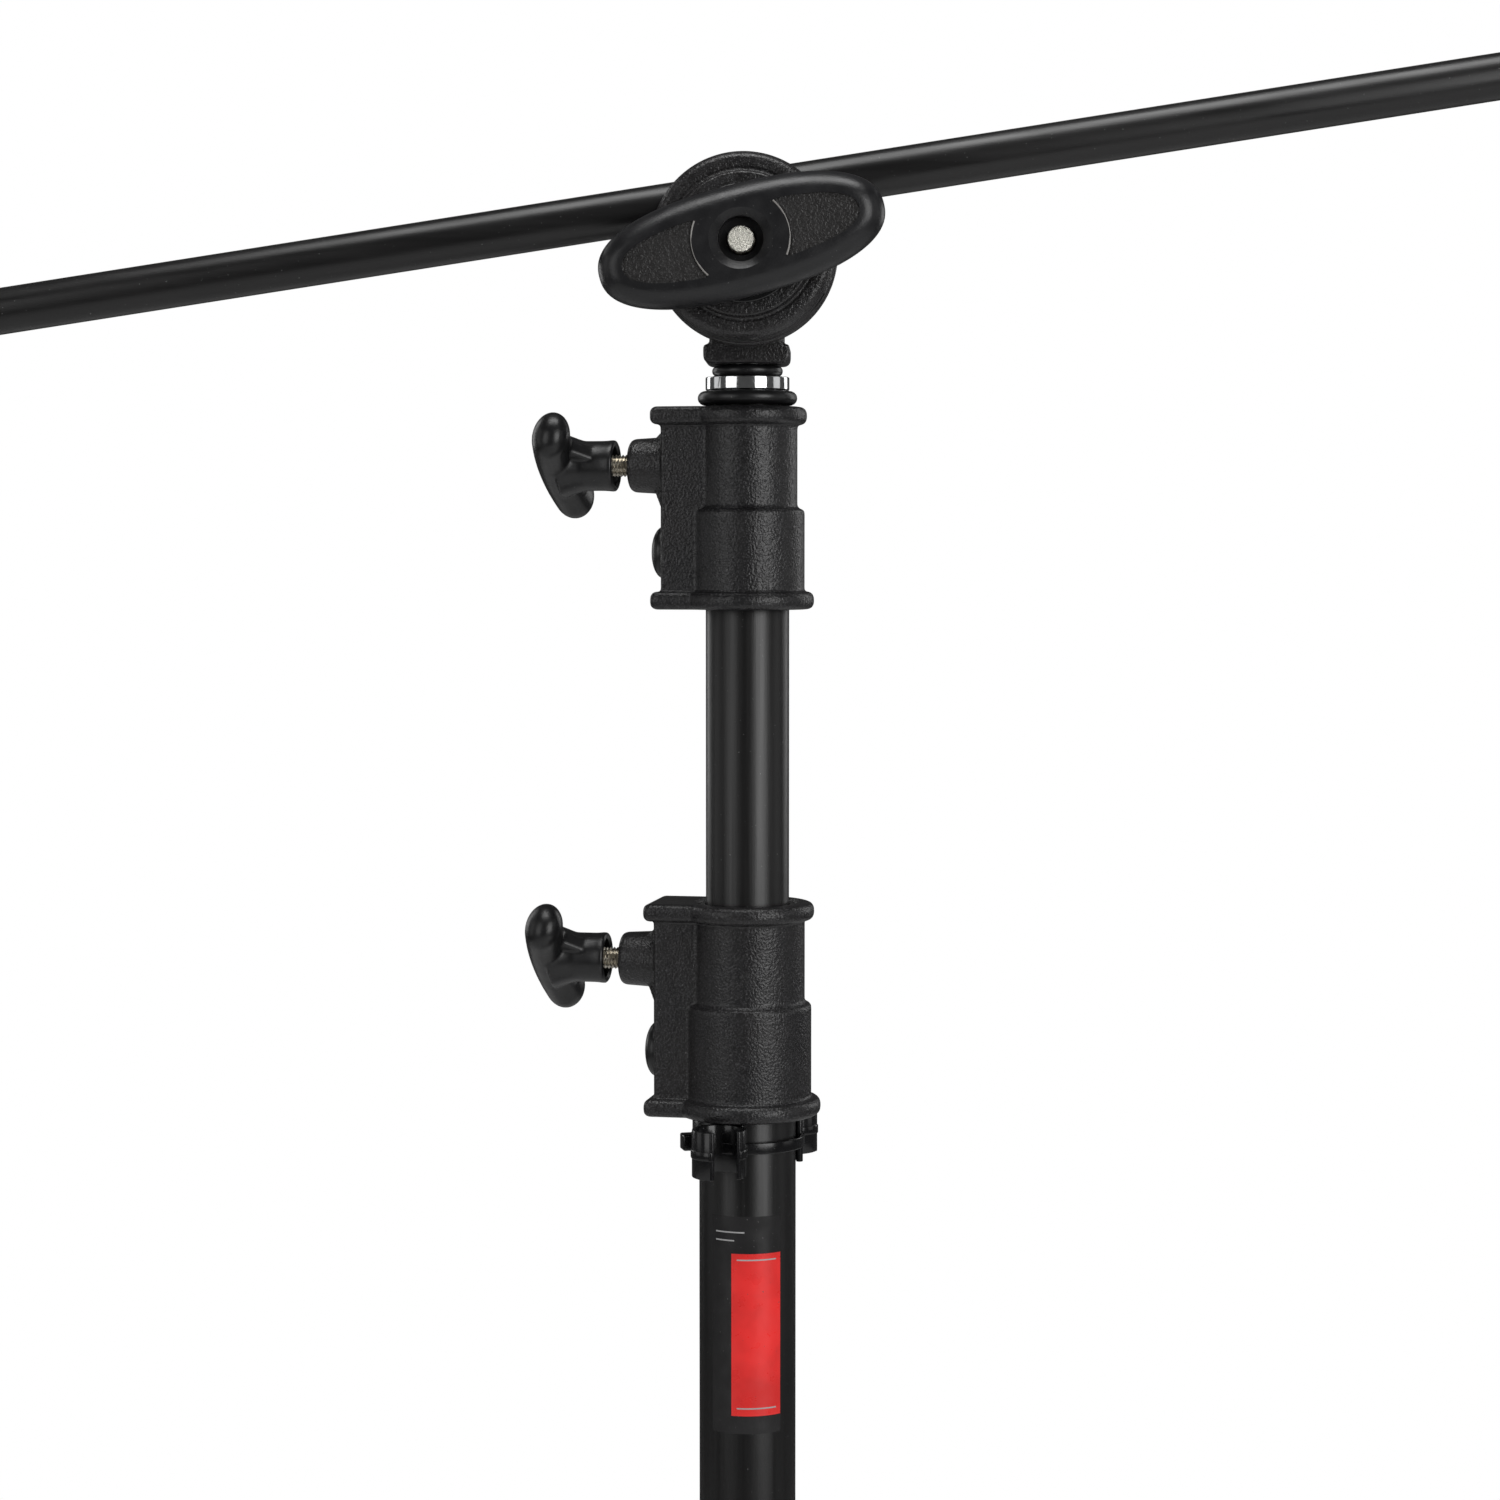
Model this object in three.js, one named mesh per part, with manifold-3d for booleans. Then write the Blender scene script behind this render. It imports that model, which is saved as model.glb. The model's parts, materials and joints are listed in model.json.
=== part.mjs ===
// Studio grip stand: three folding legs, a column with two risers, a grip head and a 40 inch grip arm.
// Millimetres, +Z up. The origin is on the column's axis at floor level. The jaws and the big handle face -Y,
// and the grip arm rises towards +X.
import * as THREE from "three";
import { mergeVertices } from "three/addons/utils/BufferGeometryUtils.js";
import Module from "manifold-3d";

const wasm = await Module();
wasm.setup();

// ---------------------------------------------------------------- driving dimensions
const GAP = 0.3; // clearance between pieces that touch
const PAST = 1; // how far a cutting tool runs past a face

const COLUMN = { r: 17.5, wall: 1.5, bottom: 72, top: 831 };
const RISER_MID = { r: 15, wall: 1.2, bottom: 216, top: 1009.5 };
const RISER_TOP = { r: 12.5, wall: 1.2, bottom: 262, top: 1051 };

const CASTING_YAW = -9; // degrees about +Z: the clamp knobs point to -X and a little back
const LOWER_CASTING = {
  tube: COLUMN.r, riser: RISER_MID.r, bottom: 790.9, shoulder: 831, top: 868,
  rLow: 23.1, rHigh: 20.7, blockReach: 32.1, blockHalf: 13, lip: 3.4,
  bossZ: 846.4, bossReach: 46.5, plugZ: 813.5, plugR: 10, wingLean: 52,
};
const UPPER_CASTING = {
  tube: RISER_MID.r, riser: RISER_TOP.r, bottom: 973.5, shoulder: 1009, top: 1045.7,
  rLow: 20.5, rHigh: 17.9, blockReach: 29.4, blockHalf: 12.5, lip: 3.4,
  bossZ: 1025, bossReach: 42.8, plugZ: 993.8, plugR: 9.4, wingLean: 60,
};
const LIP_HEIGHT = 6.4;

const SCREW_R = 4; // M8 clamp screws
const PAD = { r: 5, length: 5.2, travel: 2.3 };
const KNOB = { hubR: 9.5, hubLength: 13, gap: 5.2, wingR: 8.5, wingLength: 60, wingThickness: 14 };

const PIN = { r: 7.94, grooveR: 6.2, grooveLow: 1067, grooveHigh: 1079, top: 1089 };
const COLLAR = { r: 15, bottom: 1051.6, top: 1056.3, spigotR: 10.9, spigotLength: 30 };
const BUMPER_RING = { r: 15.2, wire: 2.6, z: 1048.8 };
const PIN_RING = { r: 10.7, wire: 1.95, z: 1058.4 };

// Grip head, from its own origin: on the socket's axis, level with the bolt. The jaws stack up towards -Y.
const HEAD_Z = 1098.3;
const HEAD = {
  footZ: -37.7, footHalf: 15.3, footHeight: 6.5, neckHalf: 13.1, half: 15,
  socketTop: -7, discR: 32.3, discFront: -27, lockZ: -25.6, lockReach: 24,
};
const JAW = {
  r: 31.75, bossR: 24.8, bossFront: -59.2,
  rearBack: -27.3, rearFront: -41.1, frontBack: -42.9, frontFront: -56.5,
  parting: -42, well: { r: 9.2, depth: 8 },
};
const BIG_GROOVE = { z: 17.9, rodR: 8 };
const SMALL_GROOVE = { z: -16.5, rodR: 6.35 };
const BOLT = { r: 4.76, headR: 10, headHeight: 4, end: -75.5 };
const WASHER = { r: 20, back: -59.5, front: -62 };
const HANDLE = {
  back: -62.3, front: -79, halfLength: 49.3, halfWidth: 18.8, power: 2.35, edge: 7, hubR: 14.5,
};
const RECESS = { r: 7.6, mouthR: 9.8, mouthDepth: 2.2, bottom: -70 };
const HANDLE_ANGLE = 14.5; // degrees above +X

const ARM_ANGLE = 8.65; // degrees above +X
const ARM = { r: 8, wall: 1.8, length: 1016, headX: 501.2, inSocket: 27.9 };

const LEG = { r: 12.5, wall: 1.8, start: 27, end: 462, levelFrom: 76, floorFrom: 300, endZ: 15.5 };
const LEGS = [
  { name: "low", z: 95, azimuth: 120 },
  { name: "mid", z: 135, azimuth: 240 },
  { name: "high", z: 175, azimuth: 0 },
];
const HUB = { r: 26, height: 36, stubR: 15.3, stubReach: 46 };
const FOOT = { r: 16, inner: 428, outer: 470 };
const HUB_SPRING = { r: 21.5, wire: 1.6, bottom: 195, top: 219 };
const HUB_COLLAR = { r: 25, bottom: 221.2, top: 239 };

const CLIP = {
  bottom: 773, top: 790, r: 20, jawR: 8.2, wall: 1.9, reach: 28.6, azimuths: [251, 57], mouth: [290, 20],
};
const TIE = { z: 781.5, height: 4, thickness: 1.3, azimuth: 196 };
const LABEL = { bottom: 677.5, top: 756.5, from: -134, to: -46, thickness: 0.3 };

// ---------------------------------------------------------------- materials
function paint(color, roughness, metalness) {
  return new THREE.MeshStandardMaterial({ color, roughness, metalness });
}
const MATERIALS = {
  tube: paint(0x17171a, 0.38, 0.6),
  casting: paint(0x2b2c30, 0.6, 0.4),
  handle: paint(0x1b1b1d, 0.45, 0),
  rubber: paint(0x101012, 0.5, 0),
  nylon: paint(0x1c1c1e, 0.5, 0),
  chrome: paint(0xd8d9db, 0.08, 1),
  zinc: paint(0xb9b7ae, 0.35, 1),
  brass: paint(0xb08d4a, 0.35, 1),
  label: paint(0xd5282a, 0.4, 0),
};

// ---------------------------------------------------------------- solids and shapes
const radians = THREE.MathUtils.degToRad;

function solidOf(geometry) {
  const bare = geometry.clone();
  bare.deleteAttribute("normal");
  bare.deleteAttribute("uv");
  const merged = mergeVertices(bare, 1e-4);
  const triVerts = new Uint32Array(merged.index.array);
  const mesh = new wasm.Mesh({ numProp: 3, vertProperties: merged.attributes.position.array, triVerts });
  return new wasm.Manifold(mesh);
}

function geometryOf(solid) {
  const mesh = solid.getMesh();
  const geometry = new THREE.BufferGeometry();
  geometry.setAttribute("position", new THREE.BufferAttribute(new Float32Array(mesh.vertProperties), 3));
  geometry.setIndex(new THREE.BufferAttribute(new Uint32Array(mesh.triVerts), 1));
  const flat = geometry.toNonIndexed();
  flat.computeVertexNormals();
  return flat;
}

const join = (first, ...others) => geometryOf(others.reduce((sum, g) => sum.add(solidOf(g)), solidOf(first)));
function cut(first, ...tools) {
  return geometryOf(tools.reduce((rest, tool) => rest.subtract(solidOf(tool)), solidOf(first)));
}
const common = (first, second) => geometryOf(solidOf(first).intersect(solidOf(second)));

// A cylinder round +Z between two heights, or a cone where the second radius differs.
function drum(r, from, to, sides = 24, topR = r) {
  const upright = new THREE.CylinderGeometry(topR, r, to - from, sides).rotateX(Math.PI / 2);
  return upright.translate(0, 0, (from + to) / 2);
}

// The same, but lying along -X (reach counts from the Z axis towards -X) or along +Y.
function drumLeft(r, from, to, z, sides = 16, endR = r) {
  return drum(r, from, to, sides, endR).rotateY(-Math.PI / 2).translate(0, 0, z);
}

function drumBack(r, from, to, z = 0, sides = 16, endR = r) {
  return drum(r, from, to, sides, endR).rotateX(-Math.PI / 2).translate(0, 0, z);
}

// A body of revolution round +Z from [radius, height] pairs, counter-clockwise with the radius to the right.
function turned(profile, sides = 24) {
  const points = profile.map(([r, z]) => new THREE.Vector2(r, z));
  return new THREE.LatheGeometry(points, sides).rotateX(Math.PI / 2);
}

function tube(r, wall, from, to, sides = 32) {
  return turned([[r - wall, from], [r, from], [r, to], [r - wall, to], [r - wall, from]], sides);
}

function ring(r, wire, z, sides = 24, around = 6) {
  const step = (2 * Math.PI) / around;
  const point = (_, i) => [r + wire * Math.cos(i * step), z + wire * Math.sin(i * step)];
  const profile = Array.from({ length: around + 1 }, point);
  return turned(profile, sides);
}

// An extrusion of an XY outline from one height to another.
function slab(shape, from, to, options = {}) {
  const bevel = options.bevelThickness ?? 0;
  const settings = { depth: to - from - 2 * bevel, bevelEnabled: bevel > 0, curveSegments: 8, ...options };
  return new THREE.ExtrudeGeometry(shape, settings).translate(0, 0, from + bevel);
}

// An outline drawn in XZ, extruded along Y from back to front.
const plate = (shape, back, front, options) => slab(shape, -back, -front, options).rotateX(Math.PI / 2);

function box(x0, x1, y0, y1, z0, z1) {
  const sized = new THREE.BoxGeometry(x1 - x0, y1 - y0, z1 - z0);
  return sized.translate((x0 + x1) / 2, (y0 + y1) / 2, (z0 + z1) / 2);
}

// A round wire wound round +Z.
function coil(r, wire, bottom, top, turns) {
  class Helix extends THREE.Curve {
    getPoint(t, target = new THREE.Vector3()) {
      const angle = 2 * Math.PI * turns * t;
      return target.set(r * Math.cos(angle), r * Math.sin(angle), bottom + (top - bottom) * t);
    }
  }
  const section = new THREE.Shape().absarc(0, 0, wire, 0, 2 * Math.PI);
  const options = { steps: 10 * turns, curveSegments: 3, extrudePath: new Helix() };
  return new THREE.ExtrudeGeometry(section, options);
}

// ---------------------------------------------------------------- the object's tree
const stand = new THREE.Group();

function add(group, name, geometry, material) {
  const mesh = new THREE.Mesh(geometry, MATERIALS[material]);
  mesh.name = name;
  group.add(mesh);
  return mesh;
}

function branch(parent, { x = 0, y = 0, z = 0, aboutY = 0, aboutZ = 0 }) {
  const group = new THREE.Group();
  group.position.set(x, y, z);
  group.rotation.set(0, radians(aboutY), radians(aboutZ));
  parent.add(group);
  return group;
}

// ---------------------------------------------------------------- legs
function legPath(z) {
  const path = new THREE.CurvePath();
  const at = (r, height) => new THREE.Vector3(r, 0, height);
  const slope = (z - LEG.endZ) / (LEG.floorFrom - LEG.levelFrom);
  const bend = 22;
  const knee = at(LEG.levelFrom, z);
  const kneeEnd = at(LEG.levelFrom + bend, z - slope * bend);
  const ankle = at(LEG.floorFrom, LEG.endZ);
  const ankleStart = at(LEG.floorFrom - bend, LEG.endZ + slope * bend);
  const kneeStart = at(LEG.levelFrom - bend, z);
  const ankleEnd = at(LEG.floorFrom + bend, LEG.endZ);
  path.add(new THREE.LineCurve3(at(LEG.start, z), kneeStart));
  path.add(new THREE.QuadraticBezierCurve3(kneeStart, knee, kneeEnd));
  path.add(new THREE.LineCurve3(kneeEnd, ankleStart));
  path.add(new THREE.QuadraticBezierCurve3(ankleStart, ankle, ankleEnd));
  path.add(new THREE.LineCurve3(ankleEnd, at(LEG.end, LEG.endZ)));
  return path;
}

function legTube(z) {
  const section = new THREE.Shape().absarc(0, 0, LEG.r, 0, 2 * Math.PI);
  section.holes.push(new THREE.Path().absarc(0, 0, LEG.r - LEG.wall, 0, 2 * Math.PI, true));
  return new THREE.ExtrudeGeometry(section, { steps: 20, curveSegments: 6, extrudePath: legPath(z) });
}

function legHub(z) {
  const half = HUB.height / 2;
  const body = drum(HUB.r, z - half, z + half, 28);
  const stub = drumLeft(HUB.stubR, 0, HUB.stubReach, z, 20).rotateZ(Math.PI);
  const socket = drumLeft(LEG.r + GAP, LEG.start - GAP, HUB.stubReach + PAST, z, 20).rotateZ(Math.PI);
  return cut(join(body, stub), socket, drum(COLUMN.r + GAP, z - half - PAST, z + half + PAST, 28));
}

function footCap() {
  const sleeve = drumLeft(FOOT.r, FOOT.inner, FOOT.outer, LEG.endZ, 20).rotateZ(Math.PI);
  const pocket = drumLeft(LEG.r + GAP, FOOT.inner - PAST, LEG.end + GAP, LEG.endZ, 20).rotateZ(Math.PI);
  return cut(sleeve, pocket, box(0, 2 * FOOT.outer, -FOOT.r, FOOT.r, -FOOT.r, 0));
}

for (const { name, z, azimuth } of LEGS) {
  const side = branch(stand, { aboutZ: azimuth });
  add(side, `leg_hub_${name}`, legHub(z), "casting");
  add(side, `leg_${name}`, legTube(z), "tube");
  add(side, `foot_${name}`, footCap(), "rubber");
}

for (const [name, lower] of [["low", LEGS[0].z], ["high", LEGS[1].z]]) {
  const bottom = lower + HUB.height / 2 + GAP;
  const washerR = HUB.r - PAST;
  const washer = tube(washerR, washerR - COLUMN.r - GAP, bottom, bottom + 3.4, 28);
  add(stand, `hub_washer_${name}`, washer, "nylon");
}

add(stand, "hub_spring", coil(HUB_SPRING.r, HUB_SPRING.wire, HUB_SPRING.bottom, HUB_SPRING.top, 4), "zinc");
const collarWall = HUB_COLLAR.r - COLUMN.r - GAP;
add(stand, "hub_collar", tube(HUB_COLLAR.r, collarWall, HUB_COLLAR.bottom, HUB_COLLAR.top, 28), "casting");

// ---------------------------------------------------------------- column and its fittings
add(stand, "column_tube", tube(COLUMN.r, COLUMN.wall, COLUMN.bottom, COLUMN.top, 40), "tube");

function columnPlug() {
  const inner = COLUMN.r - COLUMN.wall - GAP;
  const { bottom } = COLUMN;
  return turned([[0, bottom - 6], [15, bottom - 6], [COLUMN.r, bottom - 4],
    [COLUMN.r, bottom - GAP], [inner, bottom - GAP],
    [inner, bottom + 12], [0, bottom + 12]], 24);
}
add(stand, "column_plug", columnPlug(), "rubber");

function armClip() {
  const height = CLIP.top - CLIP.bottom;
  const band = new THREE.Shape().absarc(0, 0, CLIP.r, 0, 2 * Math.PI);
  band.holes.push(new THREE.Path().absarc(0, 0, COLUMN.r + GAP, 0, 2 * Math.PI, true));
  const saddle = slab(band, 0, height, { curveSegments: 14 });
  const jawOuter = CLIP.jawR + CLIP.wall;
  const centres = CLIP.azimuths.map(radians).map((a) => [CLIP.reach * Math.cos(a), CLIP.reach * Math.sin(a)]);
  const jaws = centres.map(([x, y]) => drum(jawOuter, 0, height, 20).translate(x, y, 0));
  const rodWays = centres.map(([x, y]) => drum(CLIP.jawR, -PAST, height + PAST, 20).translate(x, y, 0));
  const mouths = centres.map(([x, y], i) => {
    const gap = box(0, 2 * jawOuter, -5.6, 5.6, -PAST, height + PAST);
    return gap.rotateZ(radians(CLIP.mouth[i])).translate(x, y, 0);
  });
  const bore = drum(COLUMN.r + GAP, -PAST, height + PAST, 28);
  const seat = tube(CLIP.r + 5, CLIP.r + 5 - COLUMN.r, height / 2 - 3, height / 2 + 3, 28);
  const tieWay = common(seat, box(-30, 30, -30, 30, 0, height));
  const tieCut = cut(tieWay, drum(CLIP.r - 0.8, -PAST, height + PAST, 28));
  return cut(join(saddle, ...jaws), bore, ...rodWays, ...mouths, tieCut).translate(0, 0, CLIP.bottom);
}
add(stand, "arm_clip", armClip(), "nylon");

function clipTie() {
  const inner = CLIP.r - 0.8 + GAP;
  const half = TIE.height / 2;
  const strap = tube(inner + TIE.thickness, TIE.thickness, TIE.z - half, TIE.z + half, 28);
  const head = box(-inner - 5, -inner - 0.4, -3.2, 3.2, TIE.z - 2.9, TIE.z + 2.9);
  return join(strap, head.rotateZ(radians(TIE.azimuth - 180)));
}
add(stand, "clip_tie", clipTie(), "nylon");

function labelFilm() {
  const inner = COLUMN.r + GAP;
  const [from, to] = [radians(LABEL.from), radians(LABEL.to)];
  const outline = new THREE.Shape().absarc(0, 0, inner + LABEL.thickness, from, to, false);
  outline.absarc(0, 0, inner, to, from, true);
  return slab(outline, LABEL.bottom, LABEL.top, { curveSegments: 14 });
}
add(stand, "label", labelFilm(), "label");

// ---------------------------------------------------------------- clamp castings
// The plan of a casting: a round barrel with a square-cornered clamp block towards -X.
function castingPlan(barrelR, block, half, lip = 0) {
  const r = barrelR + lip;
  const h = half + lip;
  const reach = block + lip;
  const corner = 1.5 + lip / 2;
  const turn = Math.PI - Math.asin(h / r);
  const steps = 18;
  const shape = new THREE.Shape();
  for (let i = 0; i <= steps; i++) {
    const angle = turn * ((2 * i) / steps - 1);
    const [x, y] = [r * Math.cos(angle), r * Math.sin(angle)];
    if (i === 0) shape.moveTo(x, y);
    else shape.lineTo(x, y);
  }
  shape.lineTo(-reach + corner, h).lineTo(-reach, h - corner);
  shape.lineTo(-reach, -h + corner).lineTo(-reach + corner, -h);
  return shape;
}

// The rounded lip at each end of a casting.
function castingLip(c, barrelR, bottom) {
  const round = LIP_HEIGHT / 2 - 0.4;
  const plan = castingPlan(barrelR, c.blockReach, c.blockHalf, c.lip - round);
  const bead = { bevelThickness: round, bevelSize: round, bevelSegments: 2 };
  return slab(plan, bottom, bottom + LIP_HEIGHT, bead);
}

function castingBody(c) {
  const lower = slab(castingPlan(c.rLow, c.blockReach, c.blockHalf), c.bottom + 2, c.shoulder);
  const upperPlan = castingPlan(c.rHigh, c.blockReach - 0.2, c.blockHalf - 0.2);
  const upper = slab(upperPlan, c.shoulder - PAST, c.top - 2);
  const lips = [castingLip(c, c.rLow, c.bottom), castingLip(c, c.rHigh, c.top - LIP_HEIGHT)];
  const boss = drumLeft(10.2, c.blockReach - PAST, c.bossReach, c.bossZ, 20, 9.4);
  const web = new THREE.Shape();
  web.moveTo(-c.blockReach + PAST, c.bossZ - 24);
  web.lineTo(-c.blockReach - 2.6, c.bossZ - 8);
  web.lineTo(-c.blockReach - 2.6, c.bossZ + 8);
  web.lineTo(-c.blockReach + PAST, c.bossZ + 15);
  const webbing = plate(web, 6, -6);
  const bore = drum(c.tube + GAP + 0.1, c.bottom - PAST, c.top + PAST, 32);
  const screwWay = drumLeft(SCREW_R + GAP, 0, c.bossReach + PAST, c.bossZ, 16);
  const padWay = drumLeft(PAD.r + GAP, 0, c.riser + GAP + PAD.length + PAD.travel, c.bossZ, 16);
  const plugSeat = drumLeft(4.4, c.blockReach - 6, c.blockReach + 2, c.plugZ, 16);
  return cut(join(lower, upper, ...lips, boss, webbing), bore, screwWay, padWay, plugSeat);
}

function castingBush(c) {
  const outer = c.tube - 0.2;
  const sleeve = tube(outer, outer - c.riser - GAP, c.shoulder + GAP + 0.5, c.top - 0.6, 32);
  return cut(sleeve, drumLeft(PAD.r + GAP, 0, 2 * outer, c.bossZ, 16));
}

function plugDome(c) {
  const face = c.blockReach + GAP;
  const profile = [[0, face - 5], [4, face - 5], [4, face], [c.plugR, face], [c.plugR * 0.94, face + 2.4],
    [c.plugR * 0.72, face + 4], [c.plugR * 0.35, face + 4.8], [0, face + 4.9]];
  return turned(profile, 20).rotateY(-Math.PI / 2).translate(0, 0, c.plugZ);
}

// A two-winged clamp knob. It lies along -X from its hub's face, and its wing leans from +Z towards -Y.
function clampKnob(hubFace, z, lean) {
  const wingCentre = hubFace + KNOB.hubLength + KNOB.wingThickness / 2;
  const hub = drumLeft(KNOB.hubR, hubFace, wingCentre, 0);
  const flare = drumLeft(KNOB.hubR, hubFace + KNOB.hubLength - 5, wingCentre, 0, 16, KNOB.hubR + 3);
  const wing = new THREE.CapsuleGeometry(KNOB.wingR, KNOB.wingLength - 2 * KNOB.wingR, 3, 12);
  wing.rotateX(Math.PI / 2).scale(KNOB.wingThickness / 2 / KNOB.wingR, 1, 1);
  wing.rotateX(radians(lean)).translate(-wingCentre, 0, 0);
  const bore = drumLeft(SCREW_R + GAP, hubFace - PAST, hubFace + 12, 0);
  return cut(join(hub, flare, wing), bore).translate(0, 0, z);
}

function clampSet(group, prefix, { riser, bossReach, bossZ, wingLean }) {
  const padTip = riser + GAP;
  const padBack = padTip + PAD.length;
  const hubFace = bossReach + KNOB.gap;
  add(group, `${prefix}_pad`, drumLeft(PAD.r, padTip, padBack, bossZ), "brass");
  add(group, `${prefix}_screw`, drumLeft(SCREW_R, padBack + GAP, hubFace + 11.5, bossZ), "zinc");
  add(group, `${prefix}_knob`, clampKnob(hubFace, bossZ, wingLean), "handle");
}

for (const [prefix, casting] of [["lower", LOWER_CASTING], ["upper", UPPER_CASTING]]) {
  const group = branch(stand, { aboutZ: CASTING_YAW });
  add(group, `${prefix}_casting`, castingBody(casting), "casting");
  add(group, `${prefix}_bush`, castingBush(casting), "nylon");
  add(group, `${prefix}_plug`, plugDome(casting), "handle");
  clampSet(group, prefix, casting);
}

// ---------------------------------------------------------------- risers
// A glide fills the gap to the tube outside and plugs into the riser's lower end.
function glide(riser, outer) {
  const inner = riser.r - riser.wall - GAP;
  const bottom = riser.bottom - 24;
  const outerR = outer.r - outer.wall - GAP;
  const [shoulder, top] = [riser.bottom - GAP, riser.bottom + 16];
  return turned([[inner - 2, bottom], [outerR, bottom], [outerR, shoulder], [inner, shoulder],
    [inner, top], [inner - 2, top], [inner - 2, bottom]], 28);
}

add(stand, "riser_mid_glide", glide(RISER_MID, COLUMN), "nylon");
add(stand, "riser_mid_tube", tube(RISER_MID.r, RISER_MID.wall, RISER_MID.bottom, RISER_MID.top, 40), "tube");
add(stand, "riser_top_glide", glide(RISER_TOP, RISER_MID), "nylon");
add(stand, "riser_top_tube", tube(RISER_TOP.r, RISER_TOP.wall, RISER_TOP.bottom, RISER_TOP.top, 36), "tube");

function spigotPin() {
  const { bottom, top, r, spigotR, spigotLength } = COLLAR;
  const spigot = [[0, bottom - spigotLength], [spigotR, bottom - spigotLength], [spigotR, bottom]];
  const collar = [[r - 0.5, bottom], [r, bottom + 0.5], [r, top - 0.5], [r - 0.5, top]];
  const groove = [[PIN.r, PIN.grooveLow], [PIN.grooveR, PIN.grooveLow + 2], [PIN.grooveR, PIN.grooveHigh - 2],
    [PIN.r, PIN.grooveHigh]];
  const tip = [[PIN.r, PIN.top - 1.5], [PIN.r - 1.5, PIN.top], [0, PIN.top]];
  return turned([...spigot, ...collar, [PIN.r, top], ...groove, ...tip], 28);
}
add(stand, "spigot_pin", spigotPin(), "chrome");
add(stand, "bumper_ring", ring(BUMPER_RING.r, BUMPER_RING.wire, BUMPER_RING.z), "rubber");
add(stand, "pin_ring", ring(PIN_RING.r, PIN_RING.wire, PIN_RING.z), "rubber");

// ---------------------------------------------------------------- grip heads
// The socket block: a foot, a neck and a rounded top, drawn in XZ.
function socketOutline() {
  const { footZ, footHalf, footHeight, neckHalf } = HEAD;
  const round = 2.6;
  const shape = new THREE.Shape();
  shape.absarc(-footHalf + round, footZ + round, round, Math.PI, 1.5 * Math.PI, false);
  shape.absarc(footHalf - round, footZ + round, round, 1.5 * Math.PI, 2 * Math.PI, false);
  shape.absarc(footHalf - round, footZ + footHeight - round, round, 0, Math.PI / 2, false);
  shape.lineTo(neckHalf, footZ + footHeight + 1.2);
  shape.absarc(0, 0, neckHalf, 0, Math.PI, false);
  shape.lineTo(-neckHalf, footZ + footHeight + 1.2);
  shape.absarc(-footHalf + round, footZ + footHeight - round, round, Math.PI / 2, Math.PI, false);
  return shape;
}

function headBody(socketR, hasLock) {
  const { footZ, half, discR, discFront, socketTop, lockZ, lockReach } = HEAD;
  const block = plate(socketOutline(), half, -half - PAST, { curveSegments: 4 });
  const disc = drumBack(discR, discFront, -half, 0, 32);
  const boltWay = drumBack(BOLT.r + GAP, discFront - PAST, half + PAST);
  const socket = drum(socketR + GAP, footZ - PAST, socketTop);
  if (!hasLock) {
    const rivetWay = drumBack(2.3, -half - 2 * PAST, half + PAST, lockZ, 12);
    return cut(join(block, disc), boltWay, socket, rivetWay);
  }
  const lockBoss = drumBack(9.5, half - PAST, lockReach, lockZ, 20);
  const lockWay = drumBack(SCREW_R + GAP, 0, lockReach + PAST, lockZ);
  const padWay = drumBack(PAD.r + GAP, 0, PIN.r + GAP + PAD.length + PAD.travel, lockZ);
  return cut(join(block, disc, lockBoss), boltWay, socket, lockWay, padWay);
}

// A V groove with a flat bottom, which a rod lies in along X.
function grooveTool({ z, rodR }) {
  const flank = (rodR + 0.15) * Math.SQRT2;
  const floor = rodR + 0.4;
  const shape = new THREE.Shape();
  const half = flank - floor;
  shape.moveTo(-half, floor).lineTo(-flank, 0).lineTo(-half, -floor);
  shape.lineTo(half, -floor).lineTo(flank, 0).lineTo(half, floor);
  const length = 2 * JAW.r + 4;
  return slab(shape, -length / 2, length / 2).rotateY(Math.PI / 2).translate(0, JAW.parting, z);
}

function jaw(back, front, wellFrom, wellTo, bossFront) {
  const plain = drumBack(JAW.r, front, back, 0, 32);
  const boss = () => drumBack(JAW.bossR, bossFront, front + PAST, 0, 32);
  const body = bossFront === undefined ? plain : join(plain, boss());
  const boltWay = drumBack(BOLT.r + GAP, (bossFront ?? front) - PAST, back + PAST);
  const well = drumBack(JAW.well.r, wellFrom, wellTo);
  return cut(body, boltWay, well, grooveTool(BIG_GROOVE), grooveTool(SMALL_GROOVE));
}

function headBolt() {
  const { headR, headHeight } = BOLT;
  const profile = [[0, GAP], [headR, GAP], [headR, 1.5], [headR * 0.6, headHeight], [0, headHeight + 0.4]];
  const dome = turned(profile, 20);
  const head = dome.rotateX(-Math.PI / 2).translate(0, HEAD.half, 0);
  return join(head, drumBack(BOLT.r, BOLT.end, HEAD.half + PAST));
}

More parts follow.
